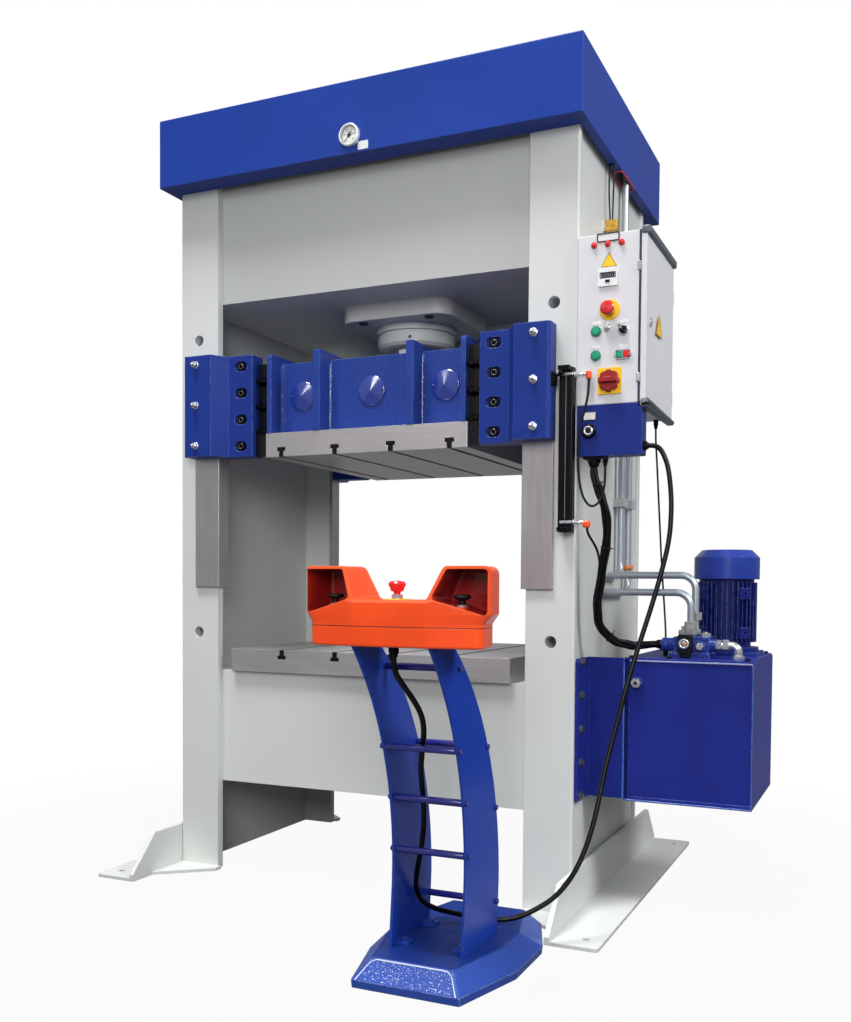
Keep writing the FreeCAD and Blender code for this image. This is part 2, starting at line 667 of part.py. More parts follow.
def buttonCollars():
    """Bezels of the panel buttons, the key lock and the stops' collars."""
    solids = [ring(startX, startZ, 15, 11.5, 5), ring(returnX, returnZ, 15, 11.5, 5),
              ring(selectorX, selectorZ, 15, 11.5, 5)]
    twin = roundedBox(twinX - 25, twinX + 25, panelY - 5, panelY, twinZ - 14, twinZ + 14, 13.0, Y)
    solids.append(twin.cut(twinHoles(panelY - 6, panelY + 1)))
    key = revolve([(0, 0), (10, 0), (10, 7), (8.5, 8), (6, 8), (6, 12), (0, 12)],
                  V(keyX, panelY, keyZ), out)
    solids.append(key.cut(box(keyX - 1, keyX + 1, panelY - 13, panelY - 7, keyZ - 4, keyZ + 4)))
    solids.append(ring(estopX, estopZ, 12.7, 8.4, 9))
    collar = revolve([(8.4, 0), (12.7, 0), (12.7, 12), (8.4, 12)], V(pedestalX, palmY, consoleTop), Z)
    solids.append(collar)
    for side in (-1, 1):
        solids.append(revolve([(8.4, 0), (13, 0), (13, 3), (11, 5), (8.4, 5)],
                              V(pedestalX + side * palmOffset, palmY, palmFloor), Z))
    return Part.Compound(solids)


def mushroom(base, axis, headR, stemLength, headHigh):
    """Stem and domed mushroom head; base is where the stem leaves its hole."""
    profile = [(0, -14), (8, -14), (8, stemLength), (headR * 0.72, stemLength + 2),
               (headR * 0.9, stemLength + headHigh * 0.55), (headR, stemLength + headHigh * 0.62),
               (headR, stemLength + headHigh * 0.8), (headR * 0.8, stemLength + headHigh),
               (0, stemLength + headHigh + 2)]
    return revolve(profile, base, axis)


def pushButton(x, z):
    return revolve([(0, -8), (11, -8), (11, 6), (10, 7.5), (0, 8)], V(x, panelY, z), out)


def twinButton(side):
    x = twinX + side * 11
    cap = roundedBox(x - 9, x + 9, panelY - 7.5, panelY + 6, twinZ - 10, twinZ + 10, 2.0, Y)
    return cap


def selectorKnob():
    base = revolve([(0, -6), (11, -6), (11, 8), (9.5, 10), (0, 10)], V(selectorX, panelY, selectorZ), out)
    grip = roundedBox(-4, 4, -19, -9, -12, 16, 3.0, Y)
    grip.Placement = FreeCAD.Placement(V(selectorX, panelY, selectorZ), FreeCAD.Rotation(Y, -45))
    return fuse([base, grip])


def mainSwitch():
    """Scalloped rotary handle with a raised grip bar."""
    centre = V(mainX, panelY, mainZ)
    dial = revolve([(0, 8), (13.5, 8), (13.5, -5), (31, -5), (31, -14), (28, -17), (0, -17)],
                   centre, Y)
    for k in range(8):
        angle = math.radians(45 * k + 22.5)
        notch = V(mainX + 34 * math.cos(angle), panelY, mainZ + 34 * math.sin(angle))
        dial = dial.cut(rod(7.0, notch + V(0, -4, 0), notch + V(0, -18, 0)))
    grip = roundedBox(mainX - 26, mainX + 26, panelY - 32, panelY - 16, mainZ - 6, mainZ + 6, 4.0, Y)
    return fuse([dial, grip])


def junctionBox():
    x0, x1 = boxX
    shell = roundedBox(x0, x1, boxY[0], boxY[1], boxZ[0], boxZ[1], 4.0, Y)
    shell = shell.cut(box(x0 + 2, x1 - 2, boxY[0] + 2, boxY[1] - 2, boxZ[0] + 2, boxZ[1] - 2))
    lip = box(x0, x1 - 12, boxY[0], boxY[0] + 24, boxZ[1] - 6, cabinetZ[0])
    ears = box(frameHalfWidth, x0, boxY[0] + 18, boxY[0] + 34, boxZ[0] + 30, boxZ[1] - 30)
    return fuse([shell, lip, ears])


def gland(base, axis, radius, length=26.0):
    collar, dome = length * 0.15, length * 0.38
    body = revolve([(0, 0), (radius * 1.5, 0), (radius * 1.5, collar), (0, collar)], base, axis)
    nut = hexPrism(radius * 2.6, length - dome - collar, base + axis * collar, axis)
    tip = revolve([(0, length - dome), (radius * 1.2, length - dome), (radius * 1.05, length), (0, length)],
                  base, axis)
    return fuse([body, nut, tip])


def tankBody():
    """Welded sheet tank, its front plate set back behind the edges, on an angle bracket."""
    x0, x1 = tankX
    y0, y1 = tankY
    z0, z1 = tankZ
    c = 18.0
    outline = [(x0, y0 + c), (x0 + c, y0), (x1, y0), (x1, y1), (x0, y1)]
    shell = prismZ(outline, z0, z1)
    shell = shell.cut(box(x0 + c + 1, x1 - tankSheet, y0 - 1, y0 + 5, z0 + 14, z1 - 4))
    inside = box(x0 + tankSheet + c, x1 - tankSheet - 1, y0 + 11, y1 - tankSheet, z0 + tankSheet + 6, z1 + 1)
    shell = shell.cut(inside)
    flange = box(frameHalfWidth, frameHalfWidth + 8, -385, -252, z0 + 6, z1 + 5)
    flange = flange.makeChamfer(9.0, [e for e in flange.Edges if along(e, X) and e.Vertexes[0].Y < -380])
    panel = box(frameHalfWidth + 8, x0, -260, -252, z0 + 6, z1 + 5)
    seat = box(x0 - 1, x0 + 4, -258, -230, z0 + 6, z1)
    rear = box(frameHalfWidth - webRecess, x0, 150, 158, z0 + 60, z1 - 60)
    boss = rod(17.0, V(853, y0 + 6, 688), V(853, y0 - 8, 688))
    return fuse([shell, flange, panel, seat, rear, boss])


def tankLid():
    x0, x1 = tankX
    lid = roundedBox(x0 + 2, x1 - 2, tankY[0] + 2, tankY[1] - 2, tankZ[1], tankZ[1] + lidThick, 4.0, Z)
    base = roundedBox(motorX - 105, motorX + 105, motorY - 105, motorY + 105,
                      tankZ[1] + lidThick, tankZ[1] + lidThick + 12, 10.0, Z)
    return fuse([lid, base])


def frameScrews():
    """Hex screws of the tank bracket, lid and pedestal, and the cylinder's socket screws."""
    solids = cylinderScrews()
    for z in (352.0, 451.0, 550.0, 650.0, 749.0):
        solids.append(hexScrew(17.0, 8.0, V(frameHalfWidth + 8, -345, z), X))
    lidZ = tankZ[1] + lidThick
    for x in (830, 945, 1168):
        for y in (-242, 192):
            solids.append(hexScrew(10.0, 5.0, V(x, y, lidZ), Z))
    for x in (pedestalX - 76, pedestalX + 76):
        for y in (-975, -815):
            solids.append(hexScrew(17.0, 8.0, V(x, y, baseTop + 6), Z))
    return Part.Compound(solids)


def motorHousing():
    """Flanged motor frame with cooling fins, two lug pairs and a shaft stub for the fan."""
    z0 = tankZ[1] + lidThick + 12
    barrel = rod(76.0, V(motorX, motorY, z0), V(motorX, motorY, cowlZ[0] - 8))
    flange = rod(motorR, V(motorX, motorY, z0), V(motorX, motorY, z0 + 14))
    shield = rod(84.0, V(motorX, motorY, cowlZ[0] - 10), V(motorX, motorY, cowlZ[0] + 4))
    fins = []
    count = 36
    for k in range(count):
        fin = box(70, 93, -1.6, 1.6, z0 + 30, cowlZ[0] - 10)
        fin.Placement = FreeCAD.Placement(V(motorX, motorY, 0), FreeCAD.Rotation(Z, 360.0 * k / count))
        fins.append(fin)
    lugs = []
    for angle in (-135, -45):
        for z in (z0 + 42, cowlZ[0] - 62):
            lug = roundedBox(70, 96, -20, 20, z, z + 34, 3.0, Z)
            lug = lug.cut(rod(5.0, V(80, 0, z + 17), V(100, 0, z + 17)))
            lug.Placement = FreeCAD.Placement(V(motorX, motorY, 0), FreeCAD.Rotation(Z, angle))
            lugs.append(lug)
    shaft = rod(12.0, V(motorX, motorY, cowlZ[0]), V(motorX, motorY, cowlZ[0] + 30))
    return fuse([barrel, flange, shield, shaft] + fins + lugs)


def motorCowl():
    """Pressed fan cowl with a sloped shoulder and a round air grille in its end."""
    z0, z1 = cowlZ
    profile = [(motorR - 2, z0), (motorR, z0), (motorR, z1 - 24), (76, z1), (0, z1), (0, z1 - 2),
               (75, z1 - 2), (motorR - 2, z1 - 25)]
    cowl = revolve(profile, V(motorX, motorY, 0), Z)
    slots = []
    for radius in (22.0, 36.0, 50.0, 64.0):
        band = revolve([(radius, z1 - 5), (radius + 8, z1 - 5), (radius + 8, z1 + 1), (radius, z1 + 1)],
                       V(motorX, motorY, 0), Z)
        slots.append(band)
    spokes = [box(-80, 80, -4, 4, z1 - 6, z1 + 2), box(-4, 4, -80, 80, z1 - 6, z1 + 2)]
    for spoke in spokes:
        spoke.Placement = FreeCAD.Placement(V(motorX, motorY, 0), FreeCAD.Rotation(Z, 45))
    grille = fuse(slots).cut(spokes)
    tabs = []
    for k in range(4):
        tab = box(84, motorR - 1, -9, 9, z0, z0 + 4)
        tab.Placement = FreeCAD.Placement(V(motorX, motorY, 0), FreeCAD.Rotation(Z, 45 + 90 * k))
        tabs.append(tab)
    return fuse([cowl.cut(grille)] + tabs)


def motorFan():
    hub = revolve([(12.1, 0), (24, 0), (24, 22), (12.1, 22)], V(motorX, motorY, cowlZ[0] + 8), Z)
    blades = []
    for k in range(6):
        blade = box(22, 78, -1.5, 1.5, cowlZ[0] + 8, cowlZ[0] + 50)
        blade.Placement = FreeCAD.Placement(V(motorX, motorY, 0), FreeCAD.Rotation(Z, 60 * k))
        blades.append(blade)
    return fuse([hub] + blades)


def valveBlock():
    """Manifold on the lid with a cross-bored cartridge and a round actuator each side."""
    z0 = tankZ[1] + lidThick
    block = box(940, 1046, -170, -60, z0, z0 + 62)
    block = block.makeChamfer(3.0, [e for e in block.Edges if along(e, Z)])
    slab = box(930, 1050, -178, -55, z0, z0 + 14)
    left = rod(20.0, V(905, -150, z0 + 38), V(945, -150, z0 + 38))
    right = rod(20.0, V(1040, -150, z0 + 38), V(1066, -150, z0 + 38))
    bosses = [rod(15.0, V(x, y, z0 + 60), V(x, y, z0 + 68))
              for x, y in (returnPort, pressurePort, gaugePort)]
    plugSeat = rod(13.0, V(1022, -165, z0 + 36), V(1022, -182, z0 + 36))
    return fuse([block, slab, left, right, plugSeat] + bosses)


def valveCoil():
    """Moulded solenoid coil with its plug, across the front of the manifold."""
    z0 = tankZ[1] + lidThick
    body = roundedBox(962, 1002, -212, -178.2, z0 + 16, z0 + 70, 4.0, Y)
    plug = roundedBox(968, 996, -206, -182, z0 + 2, z0 + 16, 3.0, Z)
    axis = V(-0.6, -0.8, 0)
    socket = revolve([(0, -20), (14, -20), (14, 16), (12, 22), (0, 22)], V(905, -150, z0 + 38), axis)
    return Part.Compound([fuse([body, plug]), socket.common(box(870, 905, -200, -100, z0, z0 + 80))])


def pipeFittings():
    """Plated nuts, plugs and the elbow around the manifold, and the tank's side plug."""
    z0 = tankZ[1] + lidThick
    solids = []
    top = z0 + 68
    for (x, y), topZ in ((returnPort, 868), (pressurePort, 896)):
        low = hexPrism(30.0, 16.0, V(x, y, top), Z)
        neck = rod(12.0, V(x, y, top + 16), V(x, y, topZ - 24))
        nut = hexPrism(34.0, 24.0, V(x, y, topZ - 24), Z)
        solids.append(fuse([low, neck, nut]))
    solids.append(fuse([hexPrism(27.0, 12.0, V(*gaugePort, top), Z),
                        rod(7, V(*gaugePort, top + 10), V(*gaugePort, top + 24))]))
    solids.append(fuse([hexPrism(27.0, 10.0, V(1024, -98, top - 6), Z),
                        rod(8.0, V(1024, -98, top + 4), V(1024, -98, top + 8))]))
    solids.append(hexPrism(19.0, 10.0, V(1022, -182, z0 + 36), out))
    coilNut = revolve([(0, 0), (15, 0), (15, 4), (12, 10), (5, 12), (0, 12)], V(982, -212, z0 + 44), out)
    solids.append(coilNut)
    nuts = fuse([hexPrism(30.0, 14.0, V(1066, -150, z0 + 38), X),
                 rod(11, V(1080, -150, z0 + 38), V(1084, -150, z0 + 38)),
                 hexPrism(32.0, 18.0, V(1084, -150, z0 + 38), X)])
    elbow, _ = tube([V(1102, -150, z0 + 38), V(1128, -150, z0 + 38), V(1128, -150, z0 + 6)], 13.0, 18.0)
    foot = hexPrism(32.0, 10.0, V(1128, -150, z0), Z)
    solids.append(fuse([nuts, elbow, foot]))
    plugBase = V(853, tankY[0] - 8, 688)
    solids.append(fuse([hexPrism(26.0, 9.0, plugBase, out),
                        rod(8.0, plugBase + out * 9, plugBase + out * 13)]))
    solids.append(box(frameHalfWidth - webRecess, lineX + 16, returnY - 18, returnY + 18,
                      returnTop, returnTop + 36))
    solids.append(hexPrism(34.0, 20.0, V(0, pressureY, 2424), Z))
    solids.append(box(frameHalfWidth - webRecess, wireX + 20, wireY - 14, wireY + 14, 2085, 2115))
    return Part.Compound(solids)


def hydraulicPipes():
    """Two steel lines: down the column, forward, across to the manifold."""
    pressure, _ = tube([V(0, pressureY, 2444), V(0, pressureY, 2492), V(lineX, pressureY, 2492),
                        V(lineX, pressureY, 1009), V(lineX, pressurePort[1], 1009),
                        V(*pressurePort, 1009), V(*pressurePort, 896)], pipeR, pipeBend, pipeR - pipeWall)
    returnLine, _ = tube([V(lineX, returnY, returnTop), V(lineX, returnY, 956), V(lineX, returnPort[1], 956),
                          V(*returnPort, 956), V(*returnPort, 868)], pipeR, pipeBend, pipeR - pipeWall)
    return Part.Compound([pressure, returnLine])


def pipeClamps():
    """Two-bolt plastic clamps that hold the lines on the column web."""
    clamps = []
    for y, heights in ((pressureY, (1250.0, 1700.0)), (returnY, (1250.0, 1590.0))):
        for z in heights:
            block = box(frameHalfWidth - webRecess, lineX + pipeR + 6, y - 22, y + 22, z - 14, z + 14)
            clamps.append(block.cut(rod(pipeR + 0.02, V(lineX, y, z - 15), V(lineX, y, z + 15))))
    return clamps


# ---- pedestal and two-hand console ----
def pedestalBase():
    """Cast octagonal weight: upright rim, sloped skirt and a flat top."""
    def octagon(inset, z):
        halfWide, halfDeep, halfFront = 204 - inset, 299 - inset, 142 - inset * 0.75
        frontTurn = -halfDeep + 219 - inset * 0.6
        backTurn = halfDeep - 175 - inset * 0.3
        right = [(halfFront, -halfDeep), (halfWide, frontTurn), (halfWide, backTurn), (halfFront, halfDeep)]
        corners = right + [(-x, y) for x, y in reversed(right)]
        return Part.makePolygon([V(pedestalX + x, pedestalBaseY + y, z) for x, y in corners + corners[:1]])

    rim = Part.makeLoft([octagon(2, 0), octagon(0, 20)], True, True)
    skirt = Part.makeLoft([octagon(0, 20), octagon(46, baseTop)], True, True)
    base = fuse([rim, skirt])
    base = roundEdges(base, 8.0, lambda e: e.BoundBox.ZLength > 30)
    return roundEdges(base, 4.0, lambda e: e.BoundBox.ZMin > baseTop - 0.1)


def arcEdge(x, start, middle, end):
    return Part.Arc(V(x, *start), V(x, *middle), V(x, *end)).toShape()


def lineEdge(x, start, end):
    return Part.LineSegment(V(x, *start), V(x, *end)).toShape()


def pedestalLadder():
    """Two bowed side plates with inward feet, welded to seven round rungs."""
    foot = baseTop
    plates = []
    for side in (-1, 1):
        x = pedestalX + side * 100 - (6 if side > 0 else 0)
        edges = [lineEdge(x, (-1022, foot), (-1010, 200)),
                 arcEdge(x, (-1010, 200), (-1052, 545), (-1226, consoleBottom)),
                 lineEdge(x, (-1226, consoleBottom), (-1092, consoleBottom)),
                 arcEdge(x, (-1092, consoleBottom), (-855, 545), (-778, 200)),
                 lineEdge(x, (-778, 200), (-788, foot)),
                 lineEdge(x, (-788, foot), (-1022, foot))]
        plates.append(Part.Face(Part.Wire(edges)).extrude(V(6, 0, 0)))
        inward = pedestalX + side * 94
        for y in (-975, -815):
            x0, x1 = sorted((inward, inward - side * 34))
            plates.append(roundedBox(x0, x1, y - 20, y + 20, foot, foot + 6, 3.0, Z))
    rungs = [rod(6.0, V(pedestalX - 107, y, z), V(pedestalX + 107, y, z)) for y, z in rungFront + rungBack]
    return fuse(plates + rungs)


def halfAt(half, y):
    """Half width of the console at depth y: it narrows towards the back."""
    return half - consoleTaper * (y - consoleFront) / (consoleBack - consoleFront)


def planPrism(half, inset, z0, z1, radius):
    """Plan of the console: straight middle, swept-back ends, tapered sides."""
    f, b = consoleFront + inset, consoleBack - inset
    corner = f + 26
    outline = [(-consoleMiddle, f), (consoleMiddle, f), (halfAt(half, corner), corner), (halfAt(half, b), b),
               (-halfAt(half, b), b), (-halfAt(half, corner), corner)]
    prism = prismZ(outline, z0, z1)
    return roundEdges(prism, radius, lambda e: along(e, Z) and abs(e.Vertexes[0].X) > 150)


def planWire(half, z, radius):
    prism = planPrism(half, 0, z, z + 1, radius)
    return [f for f in prism.Faces if f.BoundBox.ZMax < z + 0.01][0].OuterWire


def consoleTray():
    """Moulded lower tray with a thin wall and a parting groove under the housing."""
    outer = planPrism(trayHalf, 0, consoleBottom, consoleSeam, 22.0)
    outer = roundEdges(outer, 5.0, lambda e: abs(e.BoundBox.ZMax - consoleBottom) < 0.01)
    wall = consoleWall
    inner = planPrism(trayHalf - wall, wall, consoleBottom + wall, consoleSeam + 1, 18.0)
    tray = outer.cut(inner)
    tray.translate(V(pedestalX, 0, 0))
    gland = trayGland[0]
    return tray.cut(rod(9.0, gland - Z, gland + Z * (wall + 1)))


def depthLoft(view, y0, y1):
    """Solid between a front view at y0 and the same view, narrowed, at y1."""
    wires = [Part.makePolygon([V(x, y, z) for x, z in view(y) + view(y)[:1]]) for y in (y0, y1)]
    return Part.makeLoft(wires, True, True)


def consoleHousing():
    """Moulded housing: low bridge, a hood over each palm button, hollow underneath."""
    s, t = consoleSeam, consoleTop
    f, b = consoleFront, consoleBack
    flareTop = s + 30

    def frontView(y):
        w = halfAt(hoodHalf, y)
        return [(-w, flareTop), (w, flareTop), (w, hoodTop), (hoodCrown, hoodTop), (consoleMiddle, t),
                (-consoleMiddle, t), (-hoodCrown, hoodTop), (-w, hoodTop)]

    def runsBack(edge):
        line = edge.Vertexes[-1].Point - edge.Vertexes[0].Point
        return line.Length > 1e-6 and abs(line.normalize().y) > 0.97

    upper = depthLoft(frontView, f, b)
    upper = roundEdges(upper, 16.0, lambda e: runsBack(e) and e.BoundBox.ZMin > t + 9)
    upper = roundEdges(upper, 12.0, lambda e: runsBack(e) and abs(e.BoundBox.ZMin - t) < 0.1
                       and abs(abs(e.Vertexes[0].X) - consoleMiddle) < 1)
    upper = upper.common(planPrism(hoodHalf, 0, s, hoodTop + 1, 26.0))
    foot = planPrism(trayHalf, 0, s, s + 8, 22.0)
    flare = Part.makeLoft([planWire(trayHalf, s + 8, 22.0), planWire(hoodHalf, flareTop, 26.0)], True, True)
    side = prismX([(f, s), (f, t - 6), (f + 5, t), (f + 30, hoodTop), (b - 26, hoodTop),
                   (b - 4, t), (b, s)], -hoodHalf - 1, hoodHalf + 1)
    body = fuse([foot, flare, upper]).common(side)
    for hood in (-1, 1):
        def opening(y, hood=hood):
            w = halfAt(hoodHalf, y) - hoodWall
            roof = hoodTop - hoodWall
            return [(hood * (consoleMiddle + 9), t + 2), (hood * w, 903), (hood * w, roof),
                    (hood * (hoodCrown + 7), roof)]

        cavity = depthLoft(opening, f - 1, b - 34)
        cavity = roundEdges(cavity, 9.0, lambda e: runsBack(e) or e.BoundBox.YMin > b - 35)
        body = body.cut(cavity)
    inside = halfAt(trayHalf, b) - consoleWall
    under = [(-inside, s - 1), (inside, s - 1), (inside, s + 10), (96, t - 10), (-96, t - 10),
             (-inside, s + 10)]
    body = body.cut(prismY(under, f + 34, b - 8))
    stemHole = 8.3
    holes = [rod(stemHole, V(0, palmY, t - 30), V(0, palmY, t + 5))]
    for hood in (-1, 1):
        seat = V(hood * palmOffset, palmY, palmFloor)
        holes.append(rod(stemHole, seat - Z * 40, seat + Z * 12))
        body = fuse([body, rod(17.0, seat - Z * 14, seat)]).cut(rod(17.0, seat, seat + Z * 14))
    body = body.cut(holes)
    body.translate(V(pedestalX, 0, 0))
    return body


def palmButton(side):
    base = V(pedestalX + side * palmOffset, palmY, palmFloor)
    stem = revolve([(0, -16), (8, -16), (8, 14), (0, 14)], base, Z)
    head = revolve([(0, 14), (9, 14), (19, 19), (21, 22), (20, 25), (14, 27.5), (0, 28)], base, Z)
    return fuse([stem, head])


# ---- cords: runs chosen by hand, straight out of each gland ----
consoleCable = [V(905, -383, 1371), V(919, -383, 1371), V(932, -383, 1366), V(943, -383, 1354.5),
                V(951, -383, 1338), V(959, -383, 1317), V(965, -384, 1288), V(970, -385, 1248),
                V(974, -389, 1196), V(972, -399, 1104),
                V(951, -416, 1000), V(928, -436, 904), V(901, -462, 800), V(876, -492, 690),
                V(855, -520, 576), V(837, -549, 480), V(828, -578, 392), V(814, -608, 302),
                V(788, -641, 214), V(744, -673, 145), V(689, -703, 106), V(636, -728, 82),
                V(580, -748, 80), V(525, -768, 88), V(482, -794, 100), V(450, -828, 116),
                V(431, -865, 144), V(431, -900, 186), V(446, -925, 238), V(467, -944, 302),
                V(483, -962, 370), V(492, -988, 446), V(495, -1013, 514), V(510, -1036, 572),
                V(527, -1062, 622), V(531, -1086, 664), V(521, -1112, 702), V(508, -1142, 738),
                V(497, -1170, 773), V(497, -1170, 805)]
valveCable = [V(748, -382, 1319), V(748, -382, 1292), V(762, -380, 1256), V(778, -373, 1208),
              V(786, -363, 1152), V(779, -352, 1090), V(766, -342, 1030), V(754, -334, 966),
              V(745, -327, 905), V(750, -317, 860), V(770, -302, 828), V(798, -278, 807),
              V(824, -250, 799), V(850, -222, 796), V(874, -192, 799), V(892, -168, 799)]
upperLead = [V(741, -422, 1564), V(741, -422, 1530), V(732, -423, 1482), V(717, -425, 1430),
             V(713, -425, 1366), V(713, -424, 1306), V(719, -422, 1256), V(730, -418, 1220),
             V(747, -410, 1200), V(767, -405, 1208), V(779, -399, 1234), V(782, -388, 1268),
             V(780, -378, 1298), V(780, -378, 1319)]
lowerLead = [V(741, -422, 1142), V(741, -422, 1130), V(747, -417, 1115), V(756, -409, 1099),
             V(764, -399, 1080), V(768, -387, 1056), V(767, -376, 1030), V(761, -366, 996),
             V(755, -358, 962), V(749, -352, 926)]
floatLead = [V(858, -75, 1464), V(858, -75, 1430), V(861, -68, 1370), V(866, -63, 1270),
             V(873, -62, 1150), V(880, -64, 1040), V(889, -68, 940), V(897, -78, 860),
             V(900, -82, 820), V(900, -82, 787)]
plateWires = [[V(wireX + dx, wireY, 2330), V(wireX + dx * 1.6, wireY, 2290),
               V(wireX + dx * 1.9, wireY - 4, 2225), V(wireX + dx * 1.4, wireY - 2, 2165),
               V(wireX + dx, wireY, 2140), V(wireX + dx, wireY, 2115)] for dx in (-4, 4)]


def cordGlands():
    """Screwed glands on the boxes and under the console, and a line socket on the box's front."""
    parts = [gland(*place) for place in (consoleGland, valveGland, trayGland, leadGland) + floatGlands]
    parts.append(revolve([(0, 0), (20, 0), (20, 10), (17, 14), (13, 14), (13, 6), (0, 6)],
                         V(741, boxY[0], 1416), out))
    return parts


def build():
    nodes["left_column"] = column(-1)
    nodes["right_column"] = column(1)
    nodes["crown_beam"] = crownBeam()
    nodes["bed_beam"] = bedBeam()
    nodes["feet"] = feet()
    nodes["bolster_plate"] = bolsterPlate()
    nodes["guide_rails"] = guideRails()
    nodes["crown_cover"] = crownCover()
    nodes["pressure_gauge"] = pressureGauge()
    nodes["gauge_needle"] = gaugeNeedle()
    nodes["cylinder_body"] = cylinderBody()
    nodes["piston_rod"] = pistonRod()
    wings = gibWing()
    nodes["ram_body"] = fuse([ramBody()] + fourCorners(wings))
    nodes["ram_plate"] = ramPlate()
    nodes["ram_caps"] = ramCaps()
    nodes["gib_blocks"] = Part.Compound(fourCorners(gibBlock()))
    nodes["gib_adjusters"] = gibAdjusters()
    nodes["gib_screws"] = gibScrews()
    nodes["cursor_arm"] = cursorArm()
    nodes["position_transducer"] = positionTransducer()
    nodes["transducer_arms"] = transducerArms()
    nodes["cabinet_body"] = cabinetBody()
    nodes["cabinet_chassis"] = cabinetChassis()
    nodes["cabinet_hinges"] = cabinetHinges()
    nodes["cabinet_door"] = cabinetDoor()
    nodes["door_latch"] = doorLatch()
    nodes["panel_plates"] = panelPlates()
    nodes["pilot_lights"] = pilotLights()
    nodes["counter_unit"] = counterUnit()
    nodes["yellow_plates"] = yellowPlates()
    nodes["button_collars"] = buttonCollars()
    nodes["cabinet_estop"] = mushroom(V(estopX, panelY, estopZ), out, 20.0, 16.0, 20.0)
    nodes["console_estop"] = mushroom(V(pedestalX, palmY, consoleTop), Z, 20.0, 18.0, 24.0)
    nodes["start_button"] = pushButton(startX, startZ)
    nodes["return_button"] = pushButton(returnX, returnZ)
    nodes["twin_green"] = twinButton(-1)
    nodes["twin_red"] = twinButton(1)
    nodes["selector_knob"] = selectorKnob()
    nodes["main_switch"] = mainSwitch()
    nodes["junction_box"] = junctionBox()
    nodes["glands_and_clamps"] = Part.Compound(cordGlands() + pipeClamps())
    nodes["tank_body"] = tankBody()
    nodes["tank_lid"] = tankLid()
    nodes["frame_screws"] = frameScrews()
    nodes["motor_housing"] = motorHousing()
    nodes["motor_cowl"] = motorCowl()
    nodes["motor_fan"] = motorFan()
    nodes["valve_block"] = valveBlock()
    nodes["valve_coil"] = valveCoil()
    nodes["pipe_fittings"] = pipeFittings()
    nodes["hydraulic_pipes"] = hydraulicPipes()
    nodes["pedestal_base"] = pedestalBase()
    nodes["pedestal_ladder"] = pedestalLadder()
    nodes["console_tray"] = consoleTray()
    nodes["console_housing"] = consoleHousing()
    nodes["palm_button_left"] = palmButton(-1)
    nodes["palm_button_right"] = palmButton(1)
    nodes["console_cable"] = cord("console_cable", consoleCable, 14.0)
    nodes["valve_cable"] = cord("valve_cable", valveCable, 22.0)
    leads = [cord("upper_lead", upperLead, 7.0), cord("lower_lead", lowerLead, 7.0)]
    leads.append(cord("float_lead", floatLead, 6.0))
    leads += [cord("plate_wire", wire, 5.0) for wire in plateWires]
    nodes["sensor_leads"] = Part.Compound(leads)


build()
os.makedirs("parts", exist_ok=True)
for name, shape in nodes.items():
    if not shape.isValid():
        print("not valid:", name)
    shape.exportStep(os.path.join("parts", name + ".step"))
print(len(nodes), "nodes")
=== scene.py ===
import math
import random
from itertools import product

import bmesh
import bpy
from mathutils import Matrix, Vector


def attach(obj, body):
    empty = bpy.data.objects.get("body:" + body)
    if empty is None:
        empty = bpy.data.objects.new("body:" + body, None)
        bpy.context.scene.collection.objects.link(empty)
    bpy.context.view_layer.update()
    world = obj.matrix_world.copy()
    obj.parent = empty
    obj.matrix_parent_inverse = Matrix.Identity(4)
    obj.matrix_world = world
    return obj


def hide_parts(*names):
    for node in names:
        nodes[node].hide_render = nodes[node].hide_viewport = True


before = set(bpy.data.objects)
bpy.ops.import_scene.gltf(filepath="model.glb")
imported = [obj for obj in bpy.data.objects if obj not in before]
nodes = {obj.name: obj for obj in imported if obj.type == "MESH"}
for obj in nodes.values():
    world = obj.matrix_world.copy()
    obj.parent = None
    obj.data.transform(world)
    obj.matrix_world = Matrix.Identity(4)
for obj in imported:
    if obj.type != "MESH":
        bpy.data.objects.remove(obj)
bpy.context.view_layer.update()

scene = bpy.context.scene
scene.view_settings.view_transform = "Standard"


def link(name, data):
    piece = bpy.data.objects.new(name, data)
    scene.collection.objects.link(piece)
    return piece


# camera, at the photograph's place
cameraValues = dict(
    place=(1.57041, -3.33606, 0.96862),
    yaw=-0.42115,
    pitch=-0.03427,
    roll=0.00734,
    lens=36.831,
    shift=(-0.00885, 0.10908),
)


def placeCamera(values):
    data = bpy.data.cameras.new("viewpoint")
    data.sensor_fit = "AUTO"
    data.sensor_width = 36.0
    data.lens = values["lens"]
    data.shift_x, data.shift_y = values["shift"]
    data.clip_end = 100.0
    camera = link("viewpoint", data)
    matrix = Matrix.Translation(values["place"])
    for angle, axis in ((-values["yaw"], "Z"), (math.pi / 2 + values["pitch"], "X"), (values["roll"], "Z")):
        matrix = matrix @ Matrix.Rotation(angle, 4, axis)
    camera.matrix_world = matrix
    scene.camera = camera


placeCamera(cameraValues)
print("camera placed")


